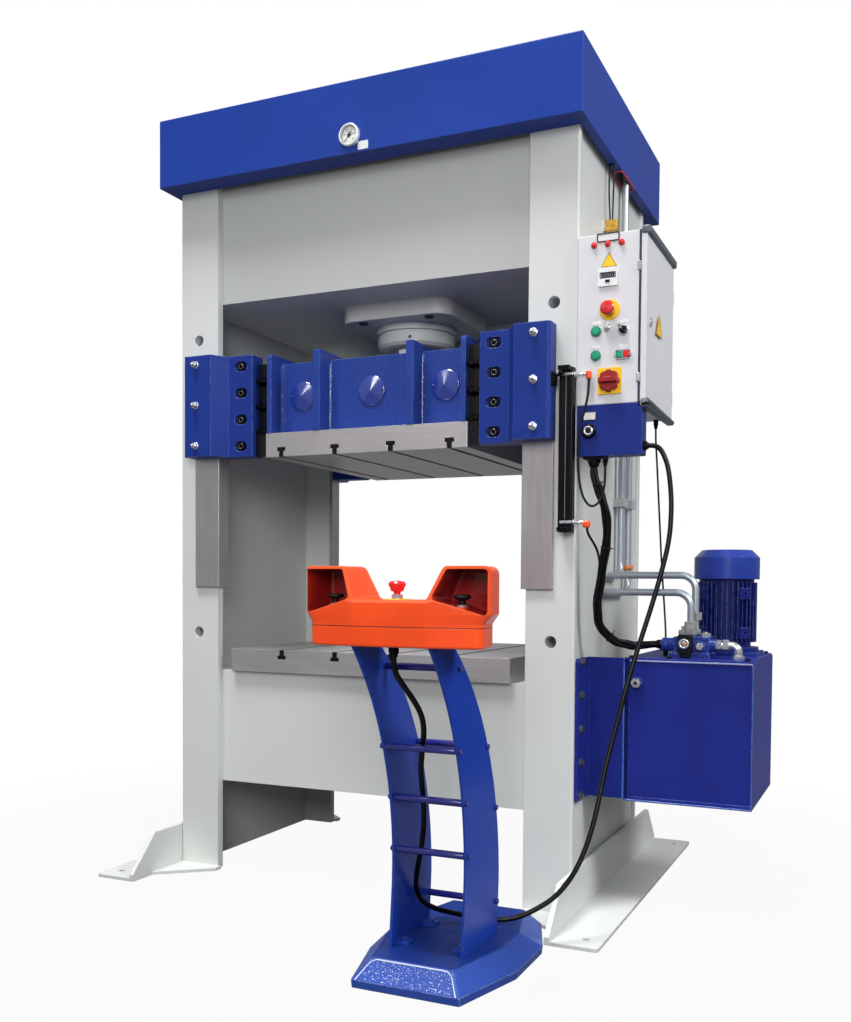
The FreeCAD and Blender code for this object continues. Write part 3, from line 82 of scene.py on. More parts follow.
class Sock:  # a socket of a node tree; operators on it add Math nodes
    def __init__(self, tree, socket=None):
        self.tree = tree
        self.socket = socket

    def feed(self, target, value):
        if isinstance(value, Sock):
            self.tree.links.new(value.socket, target)
        else:
            target.default_value = value

    def node(self, kind, settings=None, inputs=None, output=0):  # any node: settings first, then sockets
        made = self.tree.nodes.new(kind)
        for key, value in (settings or {}).items():
            setattr(made, key, value)
        for key, value in (inputs or {}).items():
            self.feed(made.inputs[key], value)
        return Sock(self.tree, made.outputs[output])

    def beside(self, output):  # another output of the same node
        return Sock(self.tree, self.socket.node.outputs[output])

    def maths(self, operation, *values):
        return self.node("ShaderNodeMath", {"operation": operation}, dict(enumerate(values)))

    def __add__(self, other):
        return self.maths("ADD", self, other)

    def __sub__(self, other):
        return self.maths("SUBTRACT", self, other)

    def __rsub__(self, other):
        return self.maths("SUBTRACT", other, self)

    def __mul__(self, other):
        return self.maths("MULTIPLY", self, other)

    __radd__ = __add__
    __rmul__ = __mul__

    def most(self, other):
        return self.maths("MAXIMUM", self, other)

    def ramp(self, low, high):  # smooth, from 0 at low to 1 at high; high may be the smaller
        return self.node("ShaderNodeMapRange", {"interpolation_type": "SMOOTHSTEP"},
                         {"Value": self, "From Min": low, "From Max": high})

    def mixed(self, first, second):  # colour first where this is 0, second where it is 1
        return self.node("ShaderNodeMix", {"data_type": "RGBA"}, {0: self, 6: first, 7: second}, 2)

    def tones(self, colour, dark, pale):  # one colour, times dark where this is 0 and pale where it is 1
        return self.mixed(lighter(colour, dark), lighter(colour, pale))

    def stretched(self, scale):
        return self.node("ShaderNodeVectorMath", {"operation": "MULTIPLY"}, {0: self, 1: scale})

    def noise(self, scale, detail=2.0, roughness=0.5):
        return self.node("ShaderNodeTexNoise", None,
                         {"Vector": self, "Scale": scale, "Detail": detail, "Roughness": roughness})

    def part(self, axis):  # one coordinate of a point
        return self.node("ShaderNodeSeparateXYZ", None, {0: self}, axis)

    def within(self, limits):  # share of a place: an axis, where the share is 0 and where it is 1
        shares = [self.part(axis).ramp(empty, full) for axis, empty, full in limits]
        return math.prod(shares[1:], start=shares[0])


class Finish:  # a material and the sockets that its look starts from
    def __init__(self, name, **fixed):
        self.material = bpy.data.materials.new(name)
        self.material.use_nodes = True
        tree = self.material.node_tree
        self.shader = tree.nodes["Principled BSDF"]
        for key, value in fixed.items():
            self.shader.inputs[key.replace("_", " ")].default_value = value
        self.start = Sock(tree)
        self.point = self.start.node("ShaderNodeTexCoord", output="Object")

    def edges(self, width):  # rounded normal, and a mask that is 1 on corners
        rounded = self.start.node("ShaderNodeBevel", {"samples": 4}, {"Radius": width})
        flat = self.start.node("ShaderNodeNewGeometry", output="Normal")
        agree = self.start.node("ShaderNodeVectorMath", {"operation": "DOT_PRODUCT"},
                                {0: rounded, 1: flat}, "Value")
        return rounded, 1.0 - agree

    def set(self, colour, roughness, normal, height, lift, strength, metallic=0.0):
        bump = self.start.node("ShaderNodeBump", None, {"Height": height, "Distance": lift,
                                                        "Strength": strength, "Normal": normal})
        for key, value in (("Base Color", colour), ("Roughness", roughness), ("Metallic", metallic),
                           ("Normal", bump)):
            self.start.feed(self.shader.inputs[key], value)
        return self.material


def shade(colour):  # screen colour 0-255 to a linear shader colour
    linear = [c / 255.0 / 12.92 if c <= 10 else ((c / 255.0 + 0.055) / 1.055) ** 2.4 for c in colour]
    return (*linear, 1.0)


def lighter(colour, factor):
    return (*[min(1.0, c * factor) for c in colour[:3]], 1.0)


def enamel(name, look):  # sprayed paint: soft tone, orange peel, paler corners that are partly worn paint and partly painted highlight
    finish = Finish(name, Specular_IOR_Level=look["specular"])
    wornAndSheenTint = shade(look["worn"])
    broad = finish.point.noise(look["cloud"], 3.0)
    height = finish.point.noise(look["peel"])
    rounded, corner = finish.edges(look["edge"])
    colour = broad.ramp(0.3, 0.7).tones(shade(look["colour"]), 1 - look["vary"], 1 + look["vary"])
    if "zone" in look:  # painted shade: a darker colour over part of the piece
        colour = finish.point.within(look["zone"]).mixed(colour, shade(look["zoneColour"]))
    scatter = finish.point.noise(look["chip"], 4.0, 0.7)
    # paler corners: partly worn paint, partly painted highlight along the edges
    worn = corner.ramp(0.03, 0.22) * scatter.ramp(0.36, 0.62) * look["wear"]
    colour = worn.mixed(colour, wornAndSheenTint)
    if "cast" in look:  # grains of a rough casting under the paint, with painted highlight specks (glint) on them
        height = height * 0.3 + finish.point.noise(look["cast"], 4.0, 0.65)
        glint = finish.point.noise(look["cast"] * 1.4).ramp(0.6, 0.68) * look["glint"]
        if "glintPlace" in look:
            glint = glint * finish.point.within(look["glintPlace"])
        colour = glint.mixed(colour, wornAndSheenTint)
    rough = look["rough"] + (broad - 0.5) * 0.12 + worn * 0.1
    return finish.set(colour, rough, rounded, height, look["lift"], look["strength"])


def ground(name, look):  # steel with grinding marks along one axis
    finish = Finish(name)
    base = shade(look["colour"])
    marks = finish.point.stretched(look["stretch"]).noise(1.0, 5.0, 0.6)
    broad = finish.point.noise(5.0, 3.0)
    spots = finish.point.noise(38.0, 4.0, 0.7).ramp(0.62, 0.74)
    tone = marks.ramp(0.3, 0.7).tones(base, 0.92, 1.06)
    tone = (broad.ramp(0.35, 0.7) * 0.35).mixed(tone, lighter(base, 0.76))
    tone = (spots * look["stain"]).mixed(tone, shade((92, 84, 78)))
    rounded, corner = finish.edges(0.0012)
    tone = (corner.ramp(0.04, 0.25) * 0.6).mixed(tone, lighter(base, 1.5))
    rough = look["rough"] + (marks - 0.5) * 0.2 + spots * 0.15
    return finish.set(tone, rough, rounded, marks, 0.00015, 0.4, look["metallic"] - spots * 0.3)


def plated(name, look):  # small turned and plated parts
    look = {"cloud": 70.0, "vary": 0.15, **look}
    finish = Finish(name)
    base = shade(look["colour"])
    cloud = finish.point.noise(look["cloud"], 3.0)
    tone = cloud.ramp(0.3, 0.75).tones(base, 1 - look["vary"], 1 + look["vary"])
    rounded, corner = finish.edges(0.0006)
    tone = (corner.ramp(0.04, 0.25) * 0.5).mixed(tone, lighter(base, 1.4))
    rough = look["rough"] + (cloud - 0.5) * 0.14
    return finish.set(tone, rough, rounded, finish.point.noise(900.0), 0.00004, 0.5, look["metallic"])


def moulded(name, look):  # plastics: fine grain, a little tone, soft corners
    look = {"coat": 0.0, "specular": 0.5, "cloud": 14.0, "grain": 1300.0, "edge": 0.0012, "pale": 0.3,
            "dust": 0.06, **look}
    finish = Finish(name, Coat_Weight=look["coat"], Coat_Roughness=0.1, Specular_IOR_Level=look["specular"])
    base = shade(look["colour"])
    wornAndSheenTint = shade(look["worn"]) if "worn" in look else lighter(base, 1.5)
    cloud = finish.point.noise(look["cloud"], 3.0)
    rounded, corner = finish.edges(look["edge"])
    tone = cloud.ramp(0.3, 0.7).tones(base, 0.92, 1.06)
    # paler corners: partly wear, partly painted highlight on the edges
    tone = (corner.ramp(0.04, 0.3) * look["pale"]).mixed(tone, wornAndSheenTint)
    dust = finish.point.noise(95.0, 5.0, 0.7).ramp(0.6, 0.8) * look["dust"]
    tone = dust.mixed(tone, shade((170, 168, 164)))
    if "seam" in look:  # dark parting line between two mouldings: level, half width, colour
        level, half, deep = look["seam"]
        offset = finish.point.part("Z") - level
        tone = offset.most(0 - offset).ramp(half * 1.2, half * 0.6).mixed(tone, shade(deep))
    if "hollow" in look:  # painted shade: deeper colour where the moulding closes round itself
        deep, reach = look["hollow"]
        openness = finish.start.node("ShaderNodeAmbientOcclusion", {"samples": 6}, {"Distance": reach}, "AO")
        tone = openness.ramp(0.3, 0.72).mixed(shade(deep), tone)
    rough = look["rough"] + (cloud - 0.5) * 0.1 + dust
    return finish.set(tone, rough, rounded, finish.point.noise(look["grain"]), 0.00005, 0.4)


def zoned(name, look):  # small parts of one node in several finishes, told apart by place
    finish = Finish(name)
    cloud = finish.point.noise(60.0, 3.0).ramp(0.3, 0.75)
    rounded, corner = finish.edges(0.0007)

    def toned(part):
        colour = shade(part["colour"])
        tone = cloud.tones(colour, 0.88, 1.1)
        return (corner.ramp(0.04, 0.25) * 0.4).mixed(tone, lighter(colour, 1.4))

    base = look["base"]
    tone, rough, metallic = toned(base), base["rough"], base["metallic"]
    for limits, part in look["zones"]:
        share = finish.point.within(limits)
        tone = share.mixed(tone, toned(part))
        rough = (1 - share) * rough + share * part["rough"]
        metallic = (1 - share) * metallic + share * part["metallic"]
    rough = rough + (cloud - 0.5) * 0.1
    return finish.set(tone, rough, rounded, finish.point.noise(900.0), 0.00004, 0.5, metallic)


# looks of the finishes, in screen colours; "nodes" are the solids that carry one
sprayed = dict(specular=0.3, cloud=2.4, peel=210.0, chip=60.0, lift=0.0004, strength=0.35)
frameGrey = dict(sprayed, colour=(213, 216, 213), worn=(238, 240, 238), vary=0.03, wear=0.3, rough=0.42,
    peel=160.0, cloud=1.6, edge=0.0022)
pressBlue = dict(sprayed, colour=(29, 60, 148), worn=(120, 142, 205), vary=0.08, wear=0.7, rough=0.4,
    peel=190.0, specular=0.12, edge=0.0024)
castBlue = dict(sprayed, colour=(38, 62, 142), worn=(168, 184, 226), vary=0.12, wear=0.9, rough=0.32,
    cast=150.0, glint=0.35, lift=0.0012, strength=0.6, edge=0.003)
enamels = {
    "frame_grey": dict(frameGrey, nodes="bed_beam feet cylinder_body"),
    # upper columns darker under the cover: painted shadow
    "column_grey": dict(frameGrey, nodes="left_column right_column", zone=[("Z", 1.7, 2.25)],
        zoneColour=(198, 201, 198)),
    # crown front face darker: painted shadow of the cover
    "crown_grey": dict(frameGrey, nodes="crown_beam", zone=[("Y", -0.371, -0.3735)],
        zoneColour=(185, 188, 187)),
    "cabinet_grey": dict(frameGrey, nodes="cabinet_body cabinet_door", colour=(213, 214, 218)),
    "cup_grey": dict(frameGrey, colour=(136, 140, 150)),
    "pale_line": dict(frameGrey, colour=(206, 216, 238), worn=(250, 250, 252)),
    "cover_blue": dict(pressBlue, nodes="crown_cover"),
    "guide_blue": dict(pressBlue, nodes="gib_blocks", colour=(31, 54, 134), wear=1.0, worn=(150, 172, 226),
        edge=0.0032),
    "box_blue": dict(pressBlue, nodes="junction_box", colour=(30, 46, 124)),
    "ladder_blue": dict(pressBlue, nodes="pedestal_ladder", colour=(30, 64, 166), rough=0.3, specular=0.14),
    "rung_blue": dict(pressBlue, colour=(38, 42, 128), rough=0.2, specular=0.6),
    "tank_blue": dict(pressBlue, nodes="tank_body tank_lid", colour=(32, 44, 130), vary=0.12, cloud=4.0,
        wear=0.9, worn=(110, 130, 205)),
    "lip_blue": dict(pressBlue, colour=(150, 158, 206), worn=(236, 238, 250), rough=0.2),
    "seam_blue": dict(pressBlue, colour=(58, 96, 178), worn=(214, 226, 248), rough=0.16, specular=0.8,
        wear=1.0),
    "cap_blue": dict(pressBlue, nodes="ram_caps", colour=(34, 56, 144), rough=0.14, specular=1.0, peel=60.0,
        wear=0.9, strength=0.2),
    "cowl_blue": dict(pressBlue, nodes="motor_cowl", colour=(32, 56, 146), rough=0.24, specular=0.35,
        cloud=9.0, vary=0.14),
    "ram_blue": dict(castBlue, nodes="ram_body", cast=240.0, glint=0.16, lift=0.0007, wear=0.8, edge=0.0035,
        specular=0.16, worn=(138, 160, 222)),
    "motor_blue": dict(castBlue, nodes="motor_housing", colour=(20, 32, 108), wear=0.5, glint=0.06,
        specular=0.14),
    "manifold_blue": dict(castBlue, nodes="valve_block", colour=(30, 50, 138), rough=0.24),
    # weld beads: pale corners and glint specks are mostly painted highlights
    "weld_blue": dict(castBlue, rough=0.14, specular=0.8, glint=0.8, wear=1.0, worn=(206, 216, 240),
        edge=0.0015),
    # pedestal top face darker: painted shade; glint specks only on the front slope
    "foot_blue": dict(castBlue, nodes="pedestal_base", colour=(48, 76, 158), worn=(226, 232, 244), wear=1.0,
        glint=0.95, edge=0.004, strength=0.25, cast=210.0, specular=0.14, zone=[("Z", 0.0655, 0.0675)],
        zoneColour=(27, 52, 126), glintPlace=[("Y", -1.1, -1.102), ("Z", 0.022, 0.024), ("X", 0.394, 0.4),
        ("X", 0.636, 0.63)]),
}
grounds = {
    "ground_plate": dict(nodes="bolster_plate ram_plate", colour=(196, 192, 195),
        stretch=(6.0, 60.0, 300.0), rough=0.38, metallic=0.85, stain=0.25),
    "ground_rail": dict(nodes="guide_rails", colour=(184, 180, 184), stretch=(300.0, 300.0, 5.0),
        rough=0.36, metallic=0.85, stain=0.06),
}
zincLook = dict(colour=(204, 206, 210), rough=0.22, metallic=0.8)
blackLook = dict(colour=(20, 20, 23), rough=0.34, metallic=0.85)
platings = {
    "zinc": dict(zincLook, nodes="gib_adjusters cabinet_hinges door_latch pipe_fittings"),
    "black_oxide": dict(blackLook, nodes="gib_screws cursor_arm"),
    "bezel": dict(nodes="pressure_gauge", colour=(228, 230, 232), rough=0.24, metallic=0.3, vary=0.05),
    "pipe_steel": dict(nodes="hydraulic_pipes", colour=(172, 180, 189), rough=0.34, metallic=0.6, cloud=5.0,
        vary=0.05),
    "rod_chrome": dict(nodes="piston_rod", colour=(214, 216, 220), rough=0.12, metallic=1.0, cloud=9.0),
    "dull_steel": dict(colour=(150, 150, 150), rough=0.3, metallic=0.8),
    "ring_steel": dict(colour=(110, 108, 112), rough=0.25, metallic=0.9),
    "brass": dict(colour=(206, 160, 62), rough=0.34, metallic=0.5),
    "coil_pin": dict(colour=(176, 140, 124), rough=0.35, metallic=0.4),
}
mouldings = {
    "orange_moulding": dict(nodes="console_tray console_housing", colour=(251, 80, 26),
        worn=(255, 168, 120), rough=0.34, coat=0.35, specular=0.25, cloud=9.0, edge=0.0035, pale=0.4,
        dust=0.03, seam=(0.877, 0.0011, (96, 22, 10)), hollow=((140, 22, 24), 0.16)),
    "black_anodised": dict(nodes="position_transducer", colour=(5, 6, 10), rough=0.3, dust=0.004,
        specular=0.16, worn=(96, 100, 112)),
    "black_plastic": dict(colour=(10, 10, 13), rough=0.34, specular=0.24, dust=0.01,
        nodes="gauge_needle selector_knob valve_coil motor_fan palm_button_left palm_button_right"),
    "cable_rubber": dict(colour=(5, 6, 9), rough=0.32, grain=700.0, dust=0.006, specular=0.2),
    "yellow_plate": dict(nodes="yellow_plates", colour=(246, 196, 24), rough=0.35, pale=0.1, dust=0.04),
    "white_plate": dict(nodes="panel_plates counter_unit", colour=(226, 227, 228), rough=0.35, pale=0.1),
    "red_plastic": dict(nodes="pilot_lights cabinet_estop console_estop twin_red", colour=(212, 26, 34),
        rough=0.26, coat=0.3),
    "dark_red_plastic": dict(nodes="main_switch", colour=(150, 18, 26), rough=0.3),
    "green_plastic": dict(nodes="start_button return_button twin_green", colour=(18, 150, 114), rough=0.3),
    "device_grey": dict(nodes="cabinet_chassis", colour=(150, 154, 156), rough=0.45),
    "seal_grey": dict(colour=(70, 80, 92), rough=0.42),
    "groove_grey": dict(colour=(112, 116, 116), rough=0.3, dust=0.01),
    "ink_black": dict(colour=(24, 24, 26), rough=0.5, dust=0.02),
    "dial_white": dict(colour=(240, 240, 236), rough=0.3, pale=0.0, dust=0.01),
    "display_window": dict(colour=(16, 18, 32), rough=0.3, specular=0.3, dust=0.01),
    "edging_red": dict(colour=(176, 24, 34), rough=0.4),
    "gasket_dark": dict(colour=(22, 26, 58), rough=0.5, dust=0.02),
    "ring_orange": dict(colour=(214, 124, 40), rough=0.5),
}
mixes = {
    "collar_mix": dict(nodes="button_collars", base=zincLook, zones=[([("X", 0.7755, 0.775),
        ("Z", 1.6, 1.601), ("Z", 1.7205, 1.72)], dict(colour=(16, 132, 100), rough=0.34, metallic=0.0))]),
    "screw_mix": dict(nodes="frame_screws", base=dict(colour=(120, 122, 126), rough=0.3, metallic=0.8),
        zones=[([("Y", -0.27, -0.26)], blackLook), ([("Y", -0.75, -0.76)], dict(colour=(40, 66, 150),
        rough=0.34, metallic=0.0))]),
    "clamp_mix": dict(nodes="glands_and_clamps", base=blackLook, zones=[([("Y", 0.05, 0.052),
        ("X", 0.751, 0.75)], dict(colour=(186, 189, 190), rough=0.4, metallic=0.2))]),
}

finishes = {}
makers = (enamel, enamels), (ground, grounds), (plated, platings), (moulded, mouldings), (zoned, mixes)
for make, looks in makers:
    for name, look in looks.items():
        finishes[name] = make(name, look)
        for node in look.get("nodes", "").split():
            for place in nodes[node].material_slots:
                place.material = finishes[name]
print("finishes made")


# building of meshes: every ...Into function adds a form to a mesh in the making
def ringInto(build, middle, side, other, radius, steps):
    return [build.verts.new(middle + (side * math.cos(a) + other * math.sin(a)) * radius)
            for a in (2 * math.pi * k / steps for k in range(steps))]


def skinInto(build, rings, smooth=True, ends=True):  # faces from ring to ring; a ring may be one point
    for low, high in zip(rings, rings[1:]):
        for k in range(max(len(low), len(high))):
            corners = (low[k % len(low)], low[(k + 1) % len(low)], high[(k + 1) % len(high)],
                       high[k % len(high)])
            build.faces.new(list(dict.fromkeys(corners))).smooth = smooth
    for ring in (rings[0], rings[-1]) if ends else ():
        if len(ring) > 1:
            build.faces.new(ring)


def turnedInto(build, profile, centre, axis, steps=32, smooth=True, closed=False):
    axis = Vector(axis).normalized()  # the profile's points are a radius and a height along the axis
    side = axis.orthogonal().normalized()
    other = axis.cross(side)
    rings = []
    for radius, height in profile:
        middle = Vector(centre) + axis * height
        rings.append(ringInto(build, middle, side, other, radius, steps) if radius
                     else [build.verts.new(middle)])
    skinInto(build, rings + rings[:1] if closed else rings, smooth, not closed)


def frames(line):  # a steady pair of side directions at each point of a line
    side = None
    made = []
    for index, point in enumerate(line):
        ahead = (line[min(index + 1, len(line) - 1)] - line[max(index - 1, 0)]).normalized()
        side = side or ahead.orthogonal().normalized()
        side = (side - ahead * side.dot(ahead)).normalized()
        made.append((point, side, ahead.cross(side)))
    return made


def tubeInto(build, line, radius, sides=10):
    skinInto(build, [ringInto(build, *place, radius, sides) for place in frames(line)])


def stripInto(build, first, second):  # faces between two closed loops
    for k in range(len(first)):
        n = (k + 1) % len(first)
        build.faces.new((first[k], first[n], second[n], second[k]))


def slabInto(build, outline, lift, hole=None):  # flat outline given thickness; the hole has as many points
    loops = [outline] if hole is None else [outline, hole]
    low = [[build.verts.new(point) for point in loop] for loop in loops]
    high = [[build.verts.new(Vector(point) + Vector(lift)) for point in loop] for loop in loops]
    for bottom, top in zip(low, high):
        stripInto(build, bottom, top)
    for level in (low, high):
        if hole is None:
            build.faces.new(level[0])
        else:
            stripInto(build, *level)


def roundedOutline(a0, a1, b0, b1, radius, place, steps=4):  # rounded rectangle, put in space by place(a, b)
    points = []
    for a, b, turn in ((a1 - radius, b1 - radius, 0), (a0 + radius, b1 - radius, 1),
                       (a0 + radius, b0 + radius, 2), (a1 - radius, b0 + radius, 3)):
        for k in range(steps + 1):
            angle = math.pi / 2 * (turn + k / steps)
            points.append(place(a + radius * math.cos(angle), b + radius * math.sin(angle)))
    return points


def onFront(y):
    return lambda x, z: (x, y, z)


def onSide(x):
    return lambda y, z: (x, y, z)


def frameInto(build, box, border, radius, y, deep):  # flat rounded frame on a front face
    x0, x1, z0, z1 = box
    inner = roundedOutline(x0 + border, x1 - border, z0 + border, z1 - border, radius * 0.5, onFront(y))
    slabInto(build, roundedOutline(*box, radius, onFront(y)), (0, -deep, 0), inner)


def triangleRimInto(build, corners, place, lift, border):  # thin raised rim of a triangular plate
    middle = sum((Vector(corner) for corner in corners), Vector((0, 0))) / 3
    inner = [Vector(corner) + (middle - Vector(corner)).normalized() * border for corner in corners]
    slabInto(build, [place(*corner) for corner in corners], lift, [place(*corner) for corner in inner])


def blockInto(build, low, high, radius, steps=2):  # box with rounded edges
    made = bmesh.ops.create_cube(build, size=1.0)["verts"]
    for vertex in made:
        vertex.co = Vector([(l + h) / 2 + c * (h - l) for l, h, c in zip(low, high, vertex.co)])
    edges = list({edge for vertex in made for edge in vertex.link_edges})
    bmesh.ops.bevel(build, geom=edges, offset=radius, segments=steps, profile=0.5, affect="EDGES")


def makePiece(name, finish, forms, body="frame", replaced=()):  # one mesh of several forms
    build = bmesh.new()
    for formInto, *facts in forms:
        formInto(build, *facts)
    bmesh.ops.recalc_face_normals(build, faces=build.faces)
    data = bpy.data.meshes.new(name)
    build.to_mesh(data)
    build.free()
    data.materials.append(finishes[finish])
    piece = link(name, data)
    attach(piece, body)
    if replaced:
        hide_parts(*replaced)
    return piece


forward = (0, -1, 0)


# cords, on the routes of the solid model
def mm(*points):
    return [Vector(point) / 1000.0 for point in points]


consoleCable = dict(
    diameter=0.014,
    route=mm(
        (905, -383, 1371), (919, -383, 1371), (932, -383, 1366), (943, -383, 1354.5), (951, -383, 1338),
        (959, -383, 1317), (965, -384, 1288), (970, -385, 1248), (974, -389, 1196), (972, -399, 1104),
        (951, -416, 1000), (928, -436, 904), (901, -462, 800), (876, -492, 690), (855, -520, 576),
        (837, -549, 480), (828, -578, 392), (814, -608, 302), (788, -641, 214), (744, -673, 145),
        (689, -703, 106), (636, -728, 82), (580, -748, 80), (525, -768, 88), (482, -794, 100),
        (450, -828, 116), (431, -865, 144), (431, -900, 186), (446, -925, 238), (467, -944, 302),
        (483, -962, 370), (492, -988, 446), (495, -1013, 514), (510, -1036, 572), (527, -1062, 622),
        (531, -1086, 664), (521, -1112, 702), (508, -1142, 738), (497, -1170, 773), (497, -1170, 805)),
)
leads = {  # diameter, route
    "upper_lead": (0.007, mm(
        (741, -422, 1564), (741, -422, 1530), (732, -423, 1482), (717, -425, 1430), (713, -425, 1366),
        (713, -424, 1306), (719, -422, 1256), (730, -418, 1220), (747, -410, 1200), (767, -405, 1208),
        (779, -399, 1234), (782, -388, 1268), (780, -378, 1298), (780, -378, 1319))),
    "lower_lead": (0.007, mm(
        (741, -422, 1142), (741, -422, 1130), (747, -417, 1115), (756, -409, 1099), (764, -399, 1080),
        (768, -387, 1056), (767, -376, 1030), (761, -366, 996), (755, -358, 962), (749, -352, 926))),
    "float_lead": (0.006, mm(
        (858, -75, 1464), (858, -75, 1430), (861, -68, 1370), (866, -63, 1270), (873, -62, 1150),
        (880, -64, 1040), (889, -68, 940), (897, -78, 860), (900, -82, 820), (900, -82, 787))),
}
plateWires = dict(
    diameter=0.005,
    offsets=(-4, 4),
    route=((1, 0, 2330), (1.6, 0, 2290), (1.9, -4, 2225), (1.4, -2, 2165), (1, 0, 2140),
           (1, 0, 2115)),  # spread, sway and height
)
for index, offset in enumerate(plateWires["offsets"]):
    leads["plate_wire_%d" % index] = (plateWires["diameter"], mm(*[
        (711 + offset * spread, -86 + sway, height) for spread, sway, height in plateWires["route"]]))
valveBundle = dict(
    diameter=0.024,
    route=mm(
        (748, -382, 1319), (748, -382, 1292), (762, -380, 1256), (778, -373, 1208), (786, -363, 1152),
        (779, -352, 1090), (766, -342, 1030), (754, -334, 966), (745, -327, 905), (750, -317, 860),
        (770, -302, 828), (798, -278, 807), (824, -250, 799), (850, -222, 796), (874, -192, 799),
        (892, -168, 799)),
    strands=((0.0, 0.0, 0.0048), (0.0088, 0.3, 0.0050), (0.0086, 1.4, 0.0040), (0.0092, 2.5, 0.0048),
             (0.0084, 3.6, 0.0038), (0.0090, 4.6, 0.0046), (0.0088, 5.6, 0.0036)),  # offset, angle, radius
    twist=2.4,
    wander=0.0012,
    waves=9.0,
)


def routeCurve(name, points):
    data = bpy.data.curves.new(name, "CURVE")
    data.dimensions = "3D"
    spline = data.splines.new("NURBS")
    spline.points.add(len(points) - 1)
    for place, point in zip(spline.points, points):
        place.co = (*point, 1.0)
    spline.order_u = 3
    spline.use_endpoint_u = True
    spline.resolution_u = 8
    return data


def meshOf(data):  # mesh of a curve or of letters
    guide = link("guide", data)
    mesh = bpy.data.meshes.new_from_object(guide)
    bpy.data.objects.remove(guide)
    return mesh


def routeLine(points):  # points along the smooth route
    mesh = meshOf(routeCurve("guide", points))
    line = [vertex.co.copy() for vertex in mesh.vertices]
    bpy.data.meshes.remove(mesh)
    return line


def lineLength(line):
    return sum((b - a).length for a, b in zip(line, line[1:]))


def roundCord(name, points, diameter, **facts):
    data = routeCurve(name, points)
    data.bevel_depth = diameter / 2
    data.bevel_resolution = 6
    data.use_fill_caps = True
    data.materials.append(finishes["cable_rubber"])
    piece = link(name, data)
    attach(piece, "frame")
    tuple(points[0])
    lineLength(routeLine(points))
    return piece


def strandLine(line, offset, angle, values, seed):
    phase = random.Random(seed).random() * 6.28
    made = []
    for index, (point, side, other) in enumerate(frames(line)):
        part = index / (len(line) - 1)
        ends = min(1.0, part * 12, (1 - part) * 12)  # 0 at both ends, where the strands draw together
        turn = angle + values["twist"] * part
        sway = values["wander"] * ends * math.sin(values["waves"] * part * 6.28 + phase)
        reach = offset * (0.72 + 0.28 * ends) + sway
        made.append(point + (side * math.cos(turn) + other * math.sin(turn)) * reach)
    return made


def makeBundle(values):
    line = routeLine(values["route"])
    strands = [(tubeInto, strandLine(line, offset, angle, values, seed), radius)
               for seed, (offset, angle, radius) in enumerate(values["strands"])]
    piece = makePiece("valve_bundle", "cable_rubber", strands, replaced=("valve_cable",))
    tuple(values["route"][0])
    lineLength(line)
    return line


cable = roundCord("console_cable_dress", consoleCable["route"], consoleCable["diameter"],
                  stiffness="medium", lay="loose")
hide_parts("console_cable")
for name, (diameter, route) in leads.items():
    lead = roundCord(name, route, diameter, stiffness="limp", lay="hanging")
    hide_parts("sensor_leads")
bundleLine = makeBundle(valveBundle)
print("cords laid")

# pressure gauge
gauge = dict(
    centre=(-0.004, -0.486, 2.346),
    radius=0.0285,
    start=225, sweep=270, steps=25,  # scale, in degrees
    numbers=("0", "50", "100", "150", "200", "250"),
    numberSize=0.0062,
    hand=4.06,  # radians
    handOutline=((-0.009, -0.0022), (-0.009, 0.0022), (0, 0.0016), (0.0245, 0.0006),
                 (0.0245, -0.0006), (0, -0.0016)),  # along and across
    hub=((0.0042, 0.0022), (0.0042, 0.0036), (0.003, 0.0043), (0, 0.0044)),
)


def textInto(build, words, size, place):  # a number as flat letters, facing forward
    data = bpy.data.curves.new("number", "FONT")
    data.body = words
    data.size = size
    data.align_x, data.align_y = "CENTER", "CENTER"
    data.extrude = 0.00012
    data.resolution_u = 3
    mesh = meshOf(data)
    mesh.transform(Matrix.Translation(place) @ Matrix.Rotation(math.pi / 2, 4, "X"))
    build.from_mesh(mesh)
    bpy.data.meshes.remove(mesh)


def ray(angle):  # direction on a front face
    return Vector((math.cos(angle), 0, math.sin(angle)))


def makeGauge(values):
    centre, radius, numbers = Vector(values["centre"]), values["radius"], values["numbers"]
    edge, inner, outer = radius * 0.985, radius * 0.93, radius * 0.955

    def bar(angle, lift, thick, points):  # flat bar drawn on the dial along a direction
        along, base = ray(angle), centre + Vector((0, -lift, 0))
        across = Vector((-along.z, 0, along.x))
        return slabInto, [base + along * a + across * b for a, b in points], (0, -thick, 0)

    def angleOf(k, steps):
        return math.radians(values["start"] - values["sweep"] * k / steps)

    marks = []
    for k in range(values["steps"] + 1):
        start, wide = (0.82, 0.00028) if k % 5 else (0.76, 0.0005)
        near, far = radius * start, radius * 0.92
        marks.append(bar(angleOf(k, values["steps"]), 0.0006, 0.0002,
                         ((near, -wide), (far, -wide), (far, wide), (near, wide))))
    for k, words in enumerate(numbers):
        place = centre + ray(angleOf(k, len(numbers) - 1)) * radius * 0.58 + Vector((0, -0.0007, 0))
        marks.append((textInto, words, values["numberSize"], place))
    marks.append((turnedInto, [(inner, 0.0005), (inner, 0.0008), (outer, 0.0008), (outer, 0.0005)], centre,
                  forward, 48, True, True))
    makePiece("gauge_dial", "dial_white", [
        (turnedInto, [(0.0032, 0.0001), (0.0032, 0.0005), (radius * 0.6, 0.0005), (edge, 0.0006),
                      (edge, 0.0001)], centre, forward, 48)])
    makePiece("gauge_marks", "ink_black", marks)
    makePiece("gauge_hand", "black_plastic", [bar(values["hand"], 0.0022, 0.0009, values["handOutline"]),
                                              (turnedInto, values["hub"], centre, forward, 24)],
              "needle", replaced=("gauge_needle",))


makeGauge(gauge)

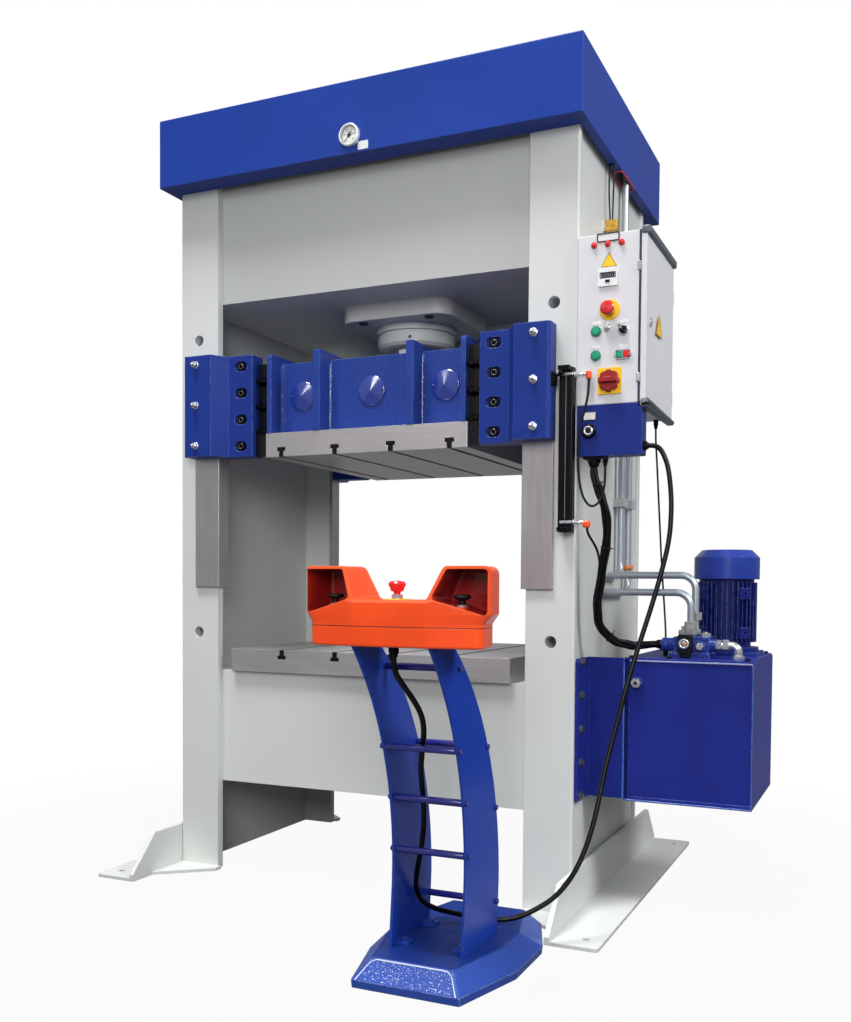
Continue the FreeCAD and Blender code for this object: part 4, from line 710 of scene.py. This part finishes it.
# control panel: frames, counter and key; boxes are x, x, z, z
panel = dict(
    y=-0.410,
    header=(0.7565, 0.8215, 1.9465, 1.9715),
    label=(0.7225, 0.7595, 1.4475, 1.4715),
    labelY=-0.411,
    triangle=((0.769, 1.876), (0.815, 1.876), (0.792, 1.916)),
    window=(0.768, 0.812, 1.845, 1.859),
    digits=7,
    resetKey=(0.7835, 0.7965, 1.8315, 1.8385),
    keyLock=(0.791, 1.706),
    keyBow=(0.0045, 0.006, 0.001, 0.0095),  # half width, half depth, rise, half height
    keyHole=(0.0015, 0.002, 0.005, 0.0028),
)


def makePanel(values):
    y = values["y"]
    makePiece("panel_rims", "ink_black", [
        (frameInto, values["header"], 0.0034, 0.003, y, 0.0026),
        (frameInto, values["label"], 0.0012, 0.001, values["labelY"], 0.0012),
        (triangleRimInto, values["triangle"], onFront(y - 0.0006), (0, -0.0008, 0), 0.0024)])
    x0, x1, z0, z1 = values["window"]
    wide = (x1 - x0 - 0.006) / values["digits"]
    rim = (x0 - 0.001, x1 + 0.001, z0 - 0.001, z1 + 0.001)
    display = [(frameInto, rim, 0.0022, 0.002, y - 0.0055, 0.0012)]
    for k in range(values["digits"]):
        left = x0 + 0.003 + wide * k
        display.append((blockInto, (left + 0.0006, y - 0.0046, z0 + 0.002),
                        (left + wide - 0.0006, y - 0.0028, z1 - 0.002), 0.0004, 1))
    x0, x1, z0, z1 = values["resetKey"]
    display.append((blockInto, (x0, y - 0.0102, z0), (x1, y - 0.006, z1), 0.0012))
    makePiece("counter_display", "display_window", display)
    x, z = values["keyLock"]

    def loop(wide, deep, rise, high, steps=20):
        return [(x + wide * math.cos(a), y - 0.027 + deep * math.cos(a), z + rise + high * math.sin(a))
                for a in (2 * math.pi * k / steps for k in range(steps))]

    makePiece("lock_key", "dull_steel", [
        (blockInto, (x - 0.0009, y - 0.020, z - 0.0035), (x + 0.0009, y - 0.009, z + 0.0035), 0.0004, 1),
        (slabInto, loop(*values["keyBow"]), (0.0014, -0.0014, 0), loop(*values["keyHole"]))])


makePanel(panel)

# cabinet door
doorTrim = dict(
    sheet=(0.885, 0.906),
    reach=(-0.4125, -0.046),
    bars=((1.474, 1.489, 1.503, 0.0075), (1.9565, 1.9795, 1.9795, 0.005)),  # low, top behind, in front, edge
    triangle=((-0.308, 1.7005), (-0.231, 1.7005), (-0.2695, 1.7665)),
)


def makeDoorTrim(values):
    x0, x1 = values["sheet"]
    y0, y1 = values["reach"]
    triangle = values["triangle"]

    def barInto(build, low, back, front, radius):  # its top rises towards the front
        blockInto(build, (x0 - 0.0004, y0, low), (x1 + 0.0045, y1, back), radius, 4)
        for vertex in build.verts:
            if (low + back) / 2 < vertex.co.z <= back:
                vertex.co.z += (front - back) * (y1 - vertex.co.y) / (y1 - y0)
        for face in build.faces:
            face.smooth = True

    makePiece("door_bars", "seal_grey", [(barInto, *bar) for bar in values["bars"]], "door")
    makePiece("door_plate", "yellow_plate", [
        (slabInto, [(x1, *corner) for corner in triangle], (0.0009, 0, 0))], "door")
    makePiece("door_plate_rim", "ink_black", [
        (triangleRimInto, triangle, onSide(x1 + 0.0008), (0.0005, 0, 0), 0.0028)], "door")


makeDoorTrim(doorTrim)

# small trim on the frame, the cover and the lines
trim = dict(
    wireBlock=((0.6945, -0.1015, 2.0835), (0.7325, -0.0705, 2.1175)),
    wireScrews=((0.705, -0.1015, 2.1), (0.722, -0.1015, 2.1)),
    wireScrew=((0.0038, 0), (0.0038, 0.0015), (0.002, 0.0024), (0, 0.0025)),
    lineHole=(0.6945, 0.7275, -0.0285, 0.142, 0.008),  # x, x, y, y, corner
    holeZ=2.2915,
    lineRing=(0.712, 0.185, 1.031),
    ringSize=(0.0125, 0.0185, 0.014),  # radii and height
    socket=(0.741, -0.4245, 1.416),
    socketFace=((0.0083, -0.006), (0.0083, -0.0015), (0.0065, 0.0004), (0, 0.0006)),
    socketPin=((0.0009, 0), (0.0009, 0.0018), (0, 0.0022)),
)


def makeTrim(values):
    makePiece("wire_block", "brass", [
        (blockInto, *values["wireBlock"], 0.0022),
        *[(turnedInto, values["wireScrew"], place, forward, 16) for place in values["wireScrews"]]])
    loop = roundedOutline(*values["lineHole"], lambda a, b: Vector((a, b, values["holeZ"])))
    makePiece("hole_edging", "edging_red", [(tubeInto, loop + loop[:2], 0.0034, 8)])
    inner, outer, high = values["ringSize"]
    makePiece("line_ring", "ring_orange", [
        (turnedInto, [(inner, 0), (outer * 0.9, 0), (outer, high * 0.2), (outer, high * 0.8),
                      (outer * 0.9, high), (inner, high)], values["lineRing"], (0, 0, 1))])
    spots = [Vector(values["socket"]) + ray(2 * math.pi * k / 5 + 0.5) * 0.004 for k in range(5)]
    makePiece("socket_face", "black_plastic", [
        (turnedInto, values["socketFace"], values["socket"], forward),
        *[(turnedInto, values["socketPin"], spot, forward, 8) for spot in spots]])


makeTrim(trim)
print("panel, door and trim made")

# dark plugs in the ends of the T-slots, painted shade standing for the slots' dark insides: body, level of
# the face, its direction and half depth
slotShadeValues = dict(
    ends={"bolster_slot_shade": ("frame", 0.755, -1, 0.392), "ram_slot_shade": ("ram", 1.391, 1, 0.398)},
    places=(-0.3, -0.1, 0.1, 0.3),
    neck=0.0177, head=0.0317, headHigh=0.0127, deep=0.0307, thick=0.03,
)


def makeSlotShades(values):
    a, b = values["neck"] / 2, values["head"] / 2
    for name, (body, level, direction, half) in values["ends"].items():
        n = level + direction * (values["deep"] - values["headHigh"])
        d = level + direction * values["deep"]
        s = level + direction * 0.0003
        section = ((-a, s), (a, s), (a, n), (b, n), (b, d), (-b, d), (-b, n), (-a, n))
        makePiece(name, "black_plastic", [
            (slabInto, [(x + u, front * half, z) for u, z in section], (0, -front * values["thick"], 0))
            for x, front in product(values["places"], (-1, 1))], body)


makeSlotShades(slotShadeValues)

# pedestal: rungs, their bolts and the line round the foot's front panel
footValues = dict(
    x=0.515,
    rungs=((-1.058, 0.578), (-1.012, 0.445), (-0.997, 0.312), (-1.060, 0.775), (-0.875, 0.565),
           (-0.811, 0.398), (-0.799, 0.149)),
    rung=((0.0066, -0.0935), (0.0088, -0.0905), (0.0088, 0.0905), (0.0066, 0.0935)),
    bolt=((0.0072, -0.0055), (0.0072, -0.0005), (0.0058, 0.0008), (0, 0.001)),
    boltOut=0.1065,
    skirt=(-1.142, 0.020, 0.046, 0.048),  # foot of the front slope, then its run and rise
    arch=(0.134, 0.0615, 0.02),  # half width, height and corner of the line
    taper=0.243,
    border=0.0036,
)


def makeFootParts(values):
    x, rungs = values["x"], []
    for y, z in values["rungs"]:
        rungs.append((turnedInto, values["rung"], (x, y, z), (1, 0, 0), 24))
        rungs += [(turnedInto, values["bolt"], (x + side * values["boltOut"], y, z), (side, 0, 0), 16)
                  for side in (-1, 1)]
    makePiece("rung_tubes", "rung_blue", rungs)
    y0, z0, run, rise = values["skirt"]
    slope = math.hypot(run, rise)

    def place(a, b):  # a across and b up the sloping front
        share = b / slope
        return x + a * (1 - values["taper"] * share), y0 + run * share - 0.0004, z0 + rise * share

    def corner(a, turn):
        return [(a + radius * math.cos(angle), top - radius + radius * math.sin(angle))
                for angle in (turn + math.pi / 2 * k / 6 for k in range(7))]

    arches = []
    for inset in (0, values["border"]):
        half, top, radius = [size - inset for size in values["arch"]]
        arches.append([(half, 0.001), *corner(half - radius, 0), *corner(radius - half, math.pi / 2),
                       (-half, 0.001)])
    makePiece("foot_panel_line", "pale_line", [
        (slabInto, [place(a, b) for a, b in arches[0] + arches[1][::-1]], (0, -0.0004, 0.0004))])


makeFootParts(footValues)

# plain pieces of the frame, the door, the tank, the coil and the position transducer
plainBlocks = {  # finish, edge, facets, boxes
    "door_gasket": ("gasket_dark", 0.0008, 1, ((0.8785, -0.4117, 1.4905), (0.8846, -0.4005, 1.9695))),
    "crown_back_bar": ("frame_grey", 0.002, 2, ((-0.5475, 0.232, 1.832), (0.5475, 0.256, 1.9155))),
    # tank_seams: pale strips on the tank's edges, partly weld seams and partly painted highlight
    "tank_seams": ("seam_blue", 0.0009, 2, ((0.8115, -0.2612, 0.335), (0.8165, -0.2585, 0.7495)),
                   ((0.8165, -0.2608, 0.3325), (1.1855, -0.2585, 0.3375)),
                   ((1.1842, -0.2608, 0.3375), (1.1869, -0.2585, 0.7495))),
    # tank_lip: pale strip along the lid's lower front edge, a painted highlight
    "tank_lip": ("lip_blue", 0.0009, 2, ((0.831, -0.2606, 0.7505), (1.1855, -0.2585, 0.7555))),
    "sensor_plugs": ("orange_moulding", 0.0052, 4, ((0.7275, -0.429, 1.1405), (0.7495, -0.415, 1.1605)),
                     ((0.7335, -0.429, 1.5625), (0.748, -0.415, 1.5865))),
    # profile_groove: pale strip on the black profile, the groove with a painted highlight in it
    "profile_groove": ("groove_grey", 0.0004, 1, ((0.6772, -0.4385, 1.165), (0.6794, -0.4378, 1.592))),
}
turnedPieces = {  # finish, steps, profile, places; they look forward
    "socket_ring": ("zinc", 40, ((0.0085, -0.004), (0.0085, 0.0016), (0.0095, 0.0026), (0.0125, 0.0026),
                                 (0.0138, 0.0014), (0.0138, -0.001)), (0.741, -0.4245, 1.416)),
    # plug_bore: flat black disc standing for the plug's dark bore, painted shade
    "plug_bore": ("black_plastic", 20, ((0.0052, 0), (0.0052, 0.0005), (0, 0.0007)), (0.853, -0.2812, 0.688)),
    "coil_nut_ring": ("zinc", 32, ((0.0152, -0.006), (0.0152, 0.0006), (0.0138, 0.0016), (0.0082, 0.0016),
                                   (0.0082, -0.001)), (0.982, -0.2245, 0.805)),
    "coil_pin": ("coil_pin", 24, ((0.008, -0.001), (0.008, 0.0006), (0.0066, 0.0022), (0.002, 0.0026),
                                  (0, 0.002)), (0.982, -0.2245, 0.805)),
    "profile_screws": ("black_oxide", 20, ((0.0085, 0), (0.0085, 0.006), (0.0072, 0.0075), (0.004, 0.0075),
                                           (0.0036, 0.003), (0, 0.003)),
                       (0.664, -0.438, 1.1365), (0.681, -0.438, 1.133)),
}
for name, (finish, edge, facets, *boxes) in plainBlocks.items():
    makePiece(name, finish, [(blockInto, *box, edge, facets) for box in boxes])
for name, (finish, steps, profile, *places) in turnedPieces.items():
    makePiece(name, finish, [(turnedInto, profile, place, forward, steps) for place in places])

# arms that carry the sensor plugs
armValues = dict(
    places=((0.699, -0.422, 1.1565), (0.699, -0.422, 1.5785)),  # where each arm leaves the profile
    profile=((0.00868, -0.002), (0.00868, 0.003), (0.0062, 0.004), (0.0062, 0.029), (0.00496, 0.035)),
    strap=(0.664, 0.7, -0.4415, -0.438, 0.0042),  # across the front of the profile
)


def makeArms(values):
    x0, x1, y0, y1, half = values["strap"]
    arms = []
    for place in values["places"]:
        z = place[2]
        arms += [(turnedInto, values["profile"], place, (1, 0, 0), 24),
                 (blockInto, (x0, y0, z - half), (x1, y1, z + half), 0.0015)]
    makePiece("sensor_arms", "zinc", arms, replaced=("transducer_arms",))


makeArms(armValues)

# ram and guides
guideValues = dict(
    studs=((-0.590, 0.590), (-0.470, 0.470), (1.431, 1.5645, 1.698)),
    washer=((0.0125, 0), (0.0125, 0.0016), (0.0115, 0.0022), (0.006, 0.0022)),
    nut=((0.010681, 0.002), (0.010681, 0.012625), (0.0091856, 0.0145)),
    rings=((-0.448, 0.448), (-0.4143, 0.4143), (1.430, 1.5177, 1.6054, 1.6931)),
    ring=((0.0064, 0), (0.0064, 0.0005), (0.0088, 0.0005), (0.0088, 0)),
    # black strips on the ram beside the gibs; the upper ones stand for the shade between gib and rib, painted
    # shade
    wipersAndShadeStrips=((0.3612, 0.4025, -0.3935, -0.3875, 1.3955, 1.469),
            (0.3535, 0.4025, -0.376, -0.371, 1.4695, 1.703)),
    ribs=(-0.166, 0.166), ribBox=(0.0135, 0.4045, 1.4692, 1.7285),  # half width, reach, z, z
    beads=(-0.337, -0.1785, -0.1535, 0.1535, 0.1785, 0.337),  # upright runs of weld
    floorBeads=((-0.337, -0.174), (-0.158, 0.158), (0.174, 0.337)),
    beadBox=(-0.335, 1.471, 1.698),  # y, z, z
    beadRadius=0.0068,
)


def beadInto(build, start, end, radius, seed):  # run of overlapping weld ripples
    chance = random.Random(seed)
    start, end = Vector(start), Vector(end)
    count = max(6, int((end - start).length / 0.0045))
    side = (end - start).orthogonal().normalized()
    other = (end - start).normalized().cross(side)
    rings = []
    for k in range(count + 1):
        size = radius * (0.8 + 0.28 * (k % 2) + 0.2 * chance.random()) * (0.35 if k in (0, count) else 1)
        rings.append(ringInto(build, start.lerp(end, k / count), side, other, size, 8))
    skinInto(build, rings)


def makeGuideParts(values):
    thread = [(0.0052, 0.01), *[(0.0048 + 0.0006 * (k % 2), 0.0135 + 0.0011 * k) for k in range(9)],
              (0.0036, 0.0242), (0, 0.0245)]
    nuts, rings, wipersAndShadeStrips, beads = [], [], [], []
    for place in product(*values["studs"]):
        away = (0, math.copysign(1, place[1]), 0)
        nuts += [(turnedInto, values["washer"], place, away, 24),
                 (turnedInto, values["nut"], place, away, 6, False), (turnedInto, thread, place, away, 16)]
    for place in product(*values["rings"]):
        away = (0, math.copysign(1, place[1]), 0)
        rings.append((turnedInto, values["ring"], place, away, 24, True, True))
    for (x0, x1, y0, y1, z0, z1), side, front in product(values["wipersAndShadeStrips"], (-1, 1), (1, -1)):
        corners = sorted((side * x0, side * x1)), sorted((front * y0, front * y1)), (z0, z1)
        wipersAndShadeStrips.append((blockInto, *zip(*corners), 0.001, 1))
    y, z0, z1 = values["beadBox"]
    radius = values["beadRadius"]
    for front in (1, -1):
        beads += [((x, y * front, z0), (x, y * front, z1), radius) for x in values["beads"]]
        beads += [((x0, y * front, z0), (x1, y * front, z0), radius * 1.1) for x0, x1 in values["floorBeads"]]
    makePiece("guide_nuts", "zinc", nuts, "ram", replaced=("gib_adjusters",))
    makePiece("guide_screw_rings", "ring_steel", rings, "ram")
    makePiece("guide_wipers_and_shade_strips", "black_plastic", wipersAndShadeStrips, "ram")
    half, reach, z0, z1 = values["ribBox"]
    makePiece("ram_rib_bars", "ram_blue", [(blockInto, (x - half, -reach, z0), (x + half, reach, z1), 0.002)
                                           for x in values["ribs"]], "ram")
    makePiece("ram_welds", "weld_blue", [(beadInto, *bead, seed) for seed, bead in enumerate(beads)], "ram")


makeGuideParts(guideValues)

# column holes: a darker grey cup behind each, painted shade for the hollow inside
columnHoles = dict(
    places=((-0.628, 0.628), (-0.372,), (0.808, 1.796)),
    profile=((0.018, 0.048), (0.018, 0), (0.02, 0), (0.02, 0.05)),
)
makePiece("hole_shade_cups", "cup_grey", [(turnedInto, columnHoles["profile"], place, (0, 1, 0), 28)
                                    for place in product(*columnHoles["places"])])

# caps of the twin button, and the selector's line
buttonValues = dict(
    y=-0.410,
    twins={"green": (0.825, -1, "twin_go"), "red": (0.847, 1, "twin_halt")},  # x, outer side, body
    twinZ=1.627,
    half=0.0102, out=0.0065, sunk=0.0072, flat=0.0106, round=0.0012, edge=0.0018,
    selector=(0.836, -0.410, 1.695), selectorTurn=-math.pi / 4,
    line=(0.0011, 0.001, 0.0145, 0.0188, 0.0006),  # half width, start, end, height, thickness
)


def makeButtons(values):
    y, z, half = values["y"], values["twinZ"], values["half"]
    back, steps = y + values["sunk"], 12

    def capInto(build, outline):
        slabInto(build, outline, (0, -values["sunk"] - values["out"], 0))
        rim = [edge for edge in build.edges if all(v.co.y < y for v in edge.verts)]
        bmesh.ops.bevel(build, geom=rim, offset=values["edge"], segments=3, profile=0.5, affect="EDGES")

    for colour, (x, side, body) in values["twins"].items():
        flat = x - side * values["flat"]
        outline = [(flat, back, z - half), (flat, back, z + half)]
        for k in range(steps + 1):
            angle = math.pi / 2 - math.pi * k / steps
            outline.append((x - side * values["round"] + side * half * math.cos(angle), back,
                            z + half * math.sin(angle)))
        makePiece("twin_%s_cap" % colour, colour + "_plastic", [(capInto, outline)], body,
                  replaced=("twin_" + colour,))
    turn = Matrix.Rotation(values["selectorTurn"], 3, "Y")
    wide, start, end, high, thick = values["line"]
    outline = [Vector(values["selector"]) + turn @ Vector((a, -high, b))
               for a, b in ((-wide, start), (wide, start), (wide, end), (-wide, end))]
    makePiece("selector_line", "white_plate", [(slabInto, outline, (0, -thick, 0))], "selector")


makeButtons(buttonValues)

# ties and boot of the valve cables
bundleTrim = dict(
    ties=(0.085, 0.335, 0.7),  # shares of the bundle's length
    tie=((0.0128, -0.002), (0.0146, -0.0016), (0.0146, 0.0016), (0.0128, 0.002)),
    tieHead=(0.0022, 0.0022, 0.002),
    tieOut=0.0155,
    tieTail=((0, 0), (0.005, 0.001), (0.010, 0.003)),  # out and up
    boot=((0.719, -0.4035, 1.3375), (0.786, -0.3585, 1.3455)),
    bootNeck=((0.0165, 0), (0.0165, 0.008), (0.0145, 0.016), (0.013, 0.02), (0.012, 0.02)),
    neckPlace=(0.748, -0.382, 1.3375),
)


def makeBundleTrim(values, line):
    ties, half = [], Vector(values["tieHead"])
    for share in values["ties"]:
        index = int(share * (len(line) - 1))
        middle, ahead = line[index], (line[index + 1] - line[index]).normalized()
        out = ahead.cross(Vector((0, 1, 0))).normalized()
        if out.x < 0:
            out = -out
        head = middle + out * values["tieOut"]
        tail = [head + out * reach + Vector((0, 0, rise)) for reach, rise in values["tieTail"]]
        ties += [(turnedInto, values["tie"], middle, ahead, 24),
                 (blockInto, head - half, head + half, 0.0005, 1), (tubeInto, tail, 0.001, 6)]
    makePiece("bundle_ties", "black_plastic", ties)
    makePiece("bundle_boot", "cable_rubber", [
        (blockInto, *values["boot"], 0.003),
        (turnedInto, values["bootNeck"], values["neckPlace"], (0, 0, -1), 28)])


makeBundleTrim(bundleTrim, bundleLine)
print("guides, buttons and dressing made")

# stage
stageValues = dict(
    floorHalf=40.0,
    floorGrey=(98, 99, 101),
    floorWhite=0.95,  # share of plain white that the camera sees in the floor
    world=(0.1, 0.3),  # light from behind and below, and from the front and above
    mirrored=0.2,  # how much whiter reflections see the world
    lamps=(  # place, size, watts, aim
        ((-1.0, -3.2, 9.6), 2.2, 600.0, (0.0, -0.4, 1.2)),
        ((2.1, -5.3, 2.7), 1.8, 125.0, (0.0, 0.0, 0.9)),
        ((0.3, -2.3, 10.0), 3.2, 170.0, (0.2, -0.6, 0.0)),
        ((4.6, -0.9, 3.9), 1.8, 150.0, (0.6, 0.0, 1.2)),
        ((-3.5, 4.5, 4.5), 3.0, 45.0, (0.0, 0.0, 1.0)),
        ((-1.2, -3.3, 3.2), 0.5, 10.0, (0.0, -0.4, 1.6)),
    ),
)
plainWhite = (1, 1, 1, 1)


def makeFloor(values):
    build = bmesh.new()
    half = values["floorHalf"]
    corners = (-half, -half), (half, -half), (half, half), (-half, half)
    build.faces.new([build.verts.new((*corner, 0)) for corner in corners])
    data = bpy.data.meshes.new("floor")
    build.to_mesh(data)
    build.free()
    material = bpy.data.materials.new("floor_white")
    material.use_nodes = True
    tree = material.node_tree
    tree.nodes.clear()
    start = Sock(tree)
    rays = start.node("ShaderNodeLightPath")
    matte = start.node("ShaderNodeBsdfDiffuse", None, {"Color": shade(values["floorGrey"])})
    glow = start.node("ShaderNodeEmission", None, {"Color": plainWhite, "Strength": 1.0})
    point = start.node("ShaderNodeTexCoord", output="Object")
    away = start.node("ShaderNodeVectorMath", {"operation": "LENGTH"}, {0: point}, "Value")
    seen = away.ramp(1.2, 2.6) * (1 - values["floorWhite"]) + values["floorWhite"]
    share = rays.most(rays.beside("Is Glossy Ray") * values["mirrored"]) * seen
    both = start.node("ShaderNodeMixShader", None, {0: share, 1: matte, 2: glow})
    result = tree.nodes.new("ShaderNodeOutputMaterial")
    tree.links.new(both.socket, result.inputs["Surface"])
    data.materials.append(material)
    link("floor", data)


def makeWorld(values):
    world = bpy.data.worlds.new("studio")
    scene.world = world
    world.use_nodes = True
    background = world.node_tree.nodes["Background"]
    start = Sock(world.node_tree)
    rays = start.node("ShaderNodeLightPath")
    direction = start.node("ShaderNodeTexCoord", output="Generated")
    facing = (direction.part("Z") * 0.55 - direction.part("Y") * 0.6).ramp(-0.6, 0.8)
    low, high = values["world"]
    strength = facing * (high - low) + low + rays.beside("Is Glossy Ray") * values["mirrored"]
    strength = rays.most(rays.beside("Is Transmission Ray")).most(strength)
    start.feed(background.inputs["Color"], plainWhite)
    start.feed(background.inputs["Strength"], strength)


def makeLamps(values):
    for index, (place, size, watts, aim) in enumerate(values["lamps"]):
        data = bpy.data.lights.new("softbox_%d" % index, "AREA")
        data.size = size
        data.energy = watts
        lamp = link("softbox_%d" % index, data)
        lamp.location = place
        lamp.rotation_mode = "QUATERNION"
        lamp.rotation_quaternion = (Vector(aim) - Vector(place)).to_track_quat("-Z", "Y")


makeFloor(stageValues)
makeWorld(stageValues)
makeLamps(stageValues)
print("stage set")
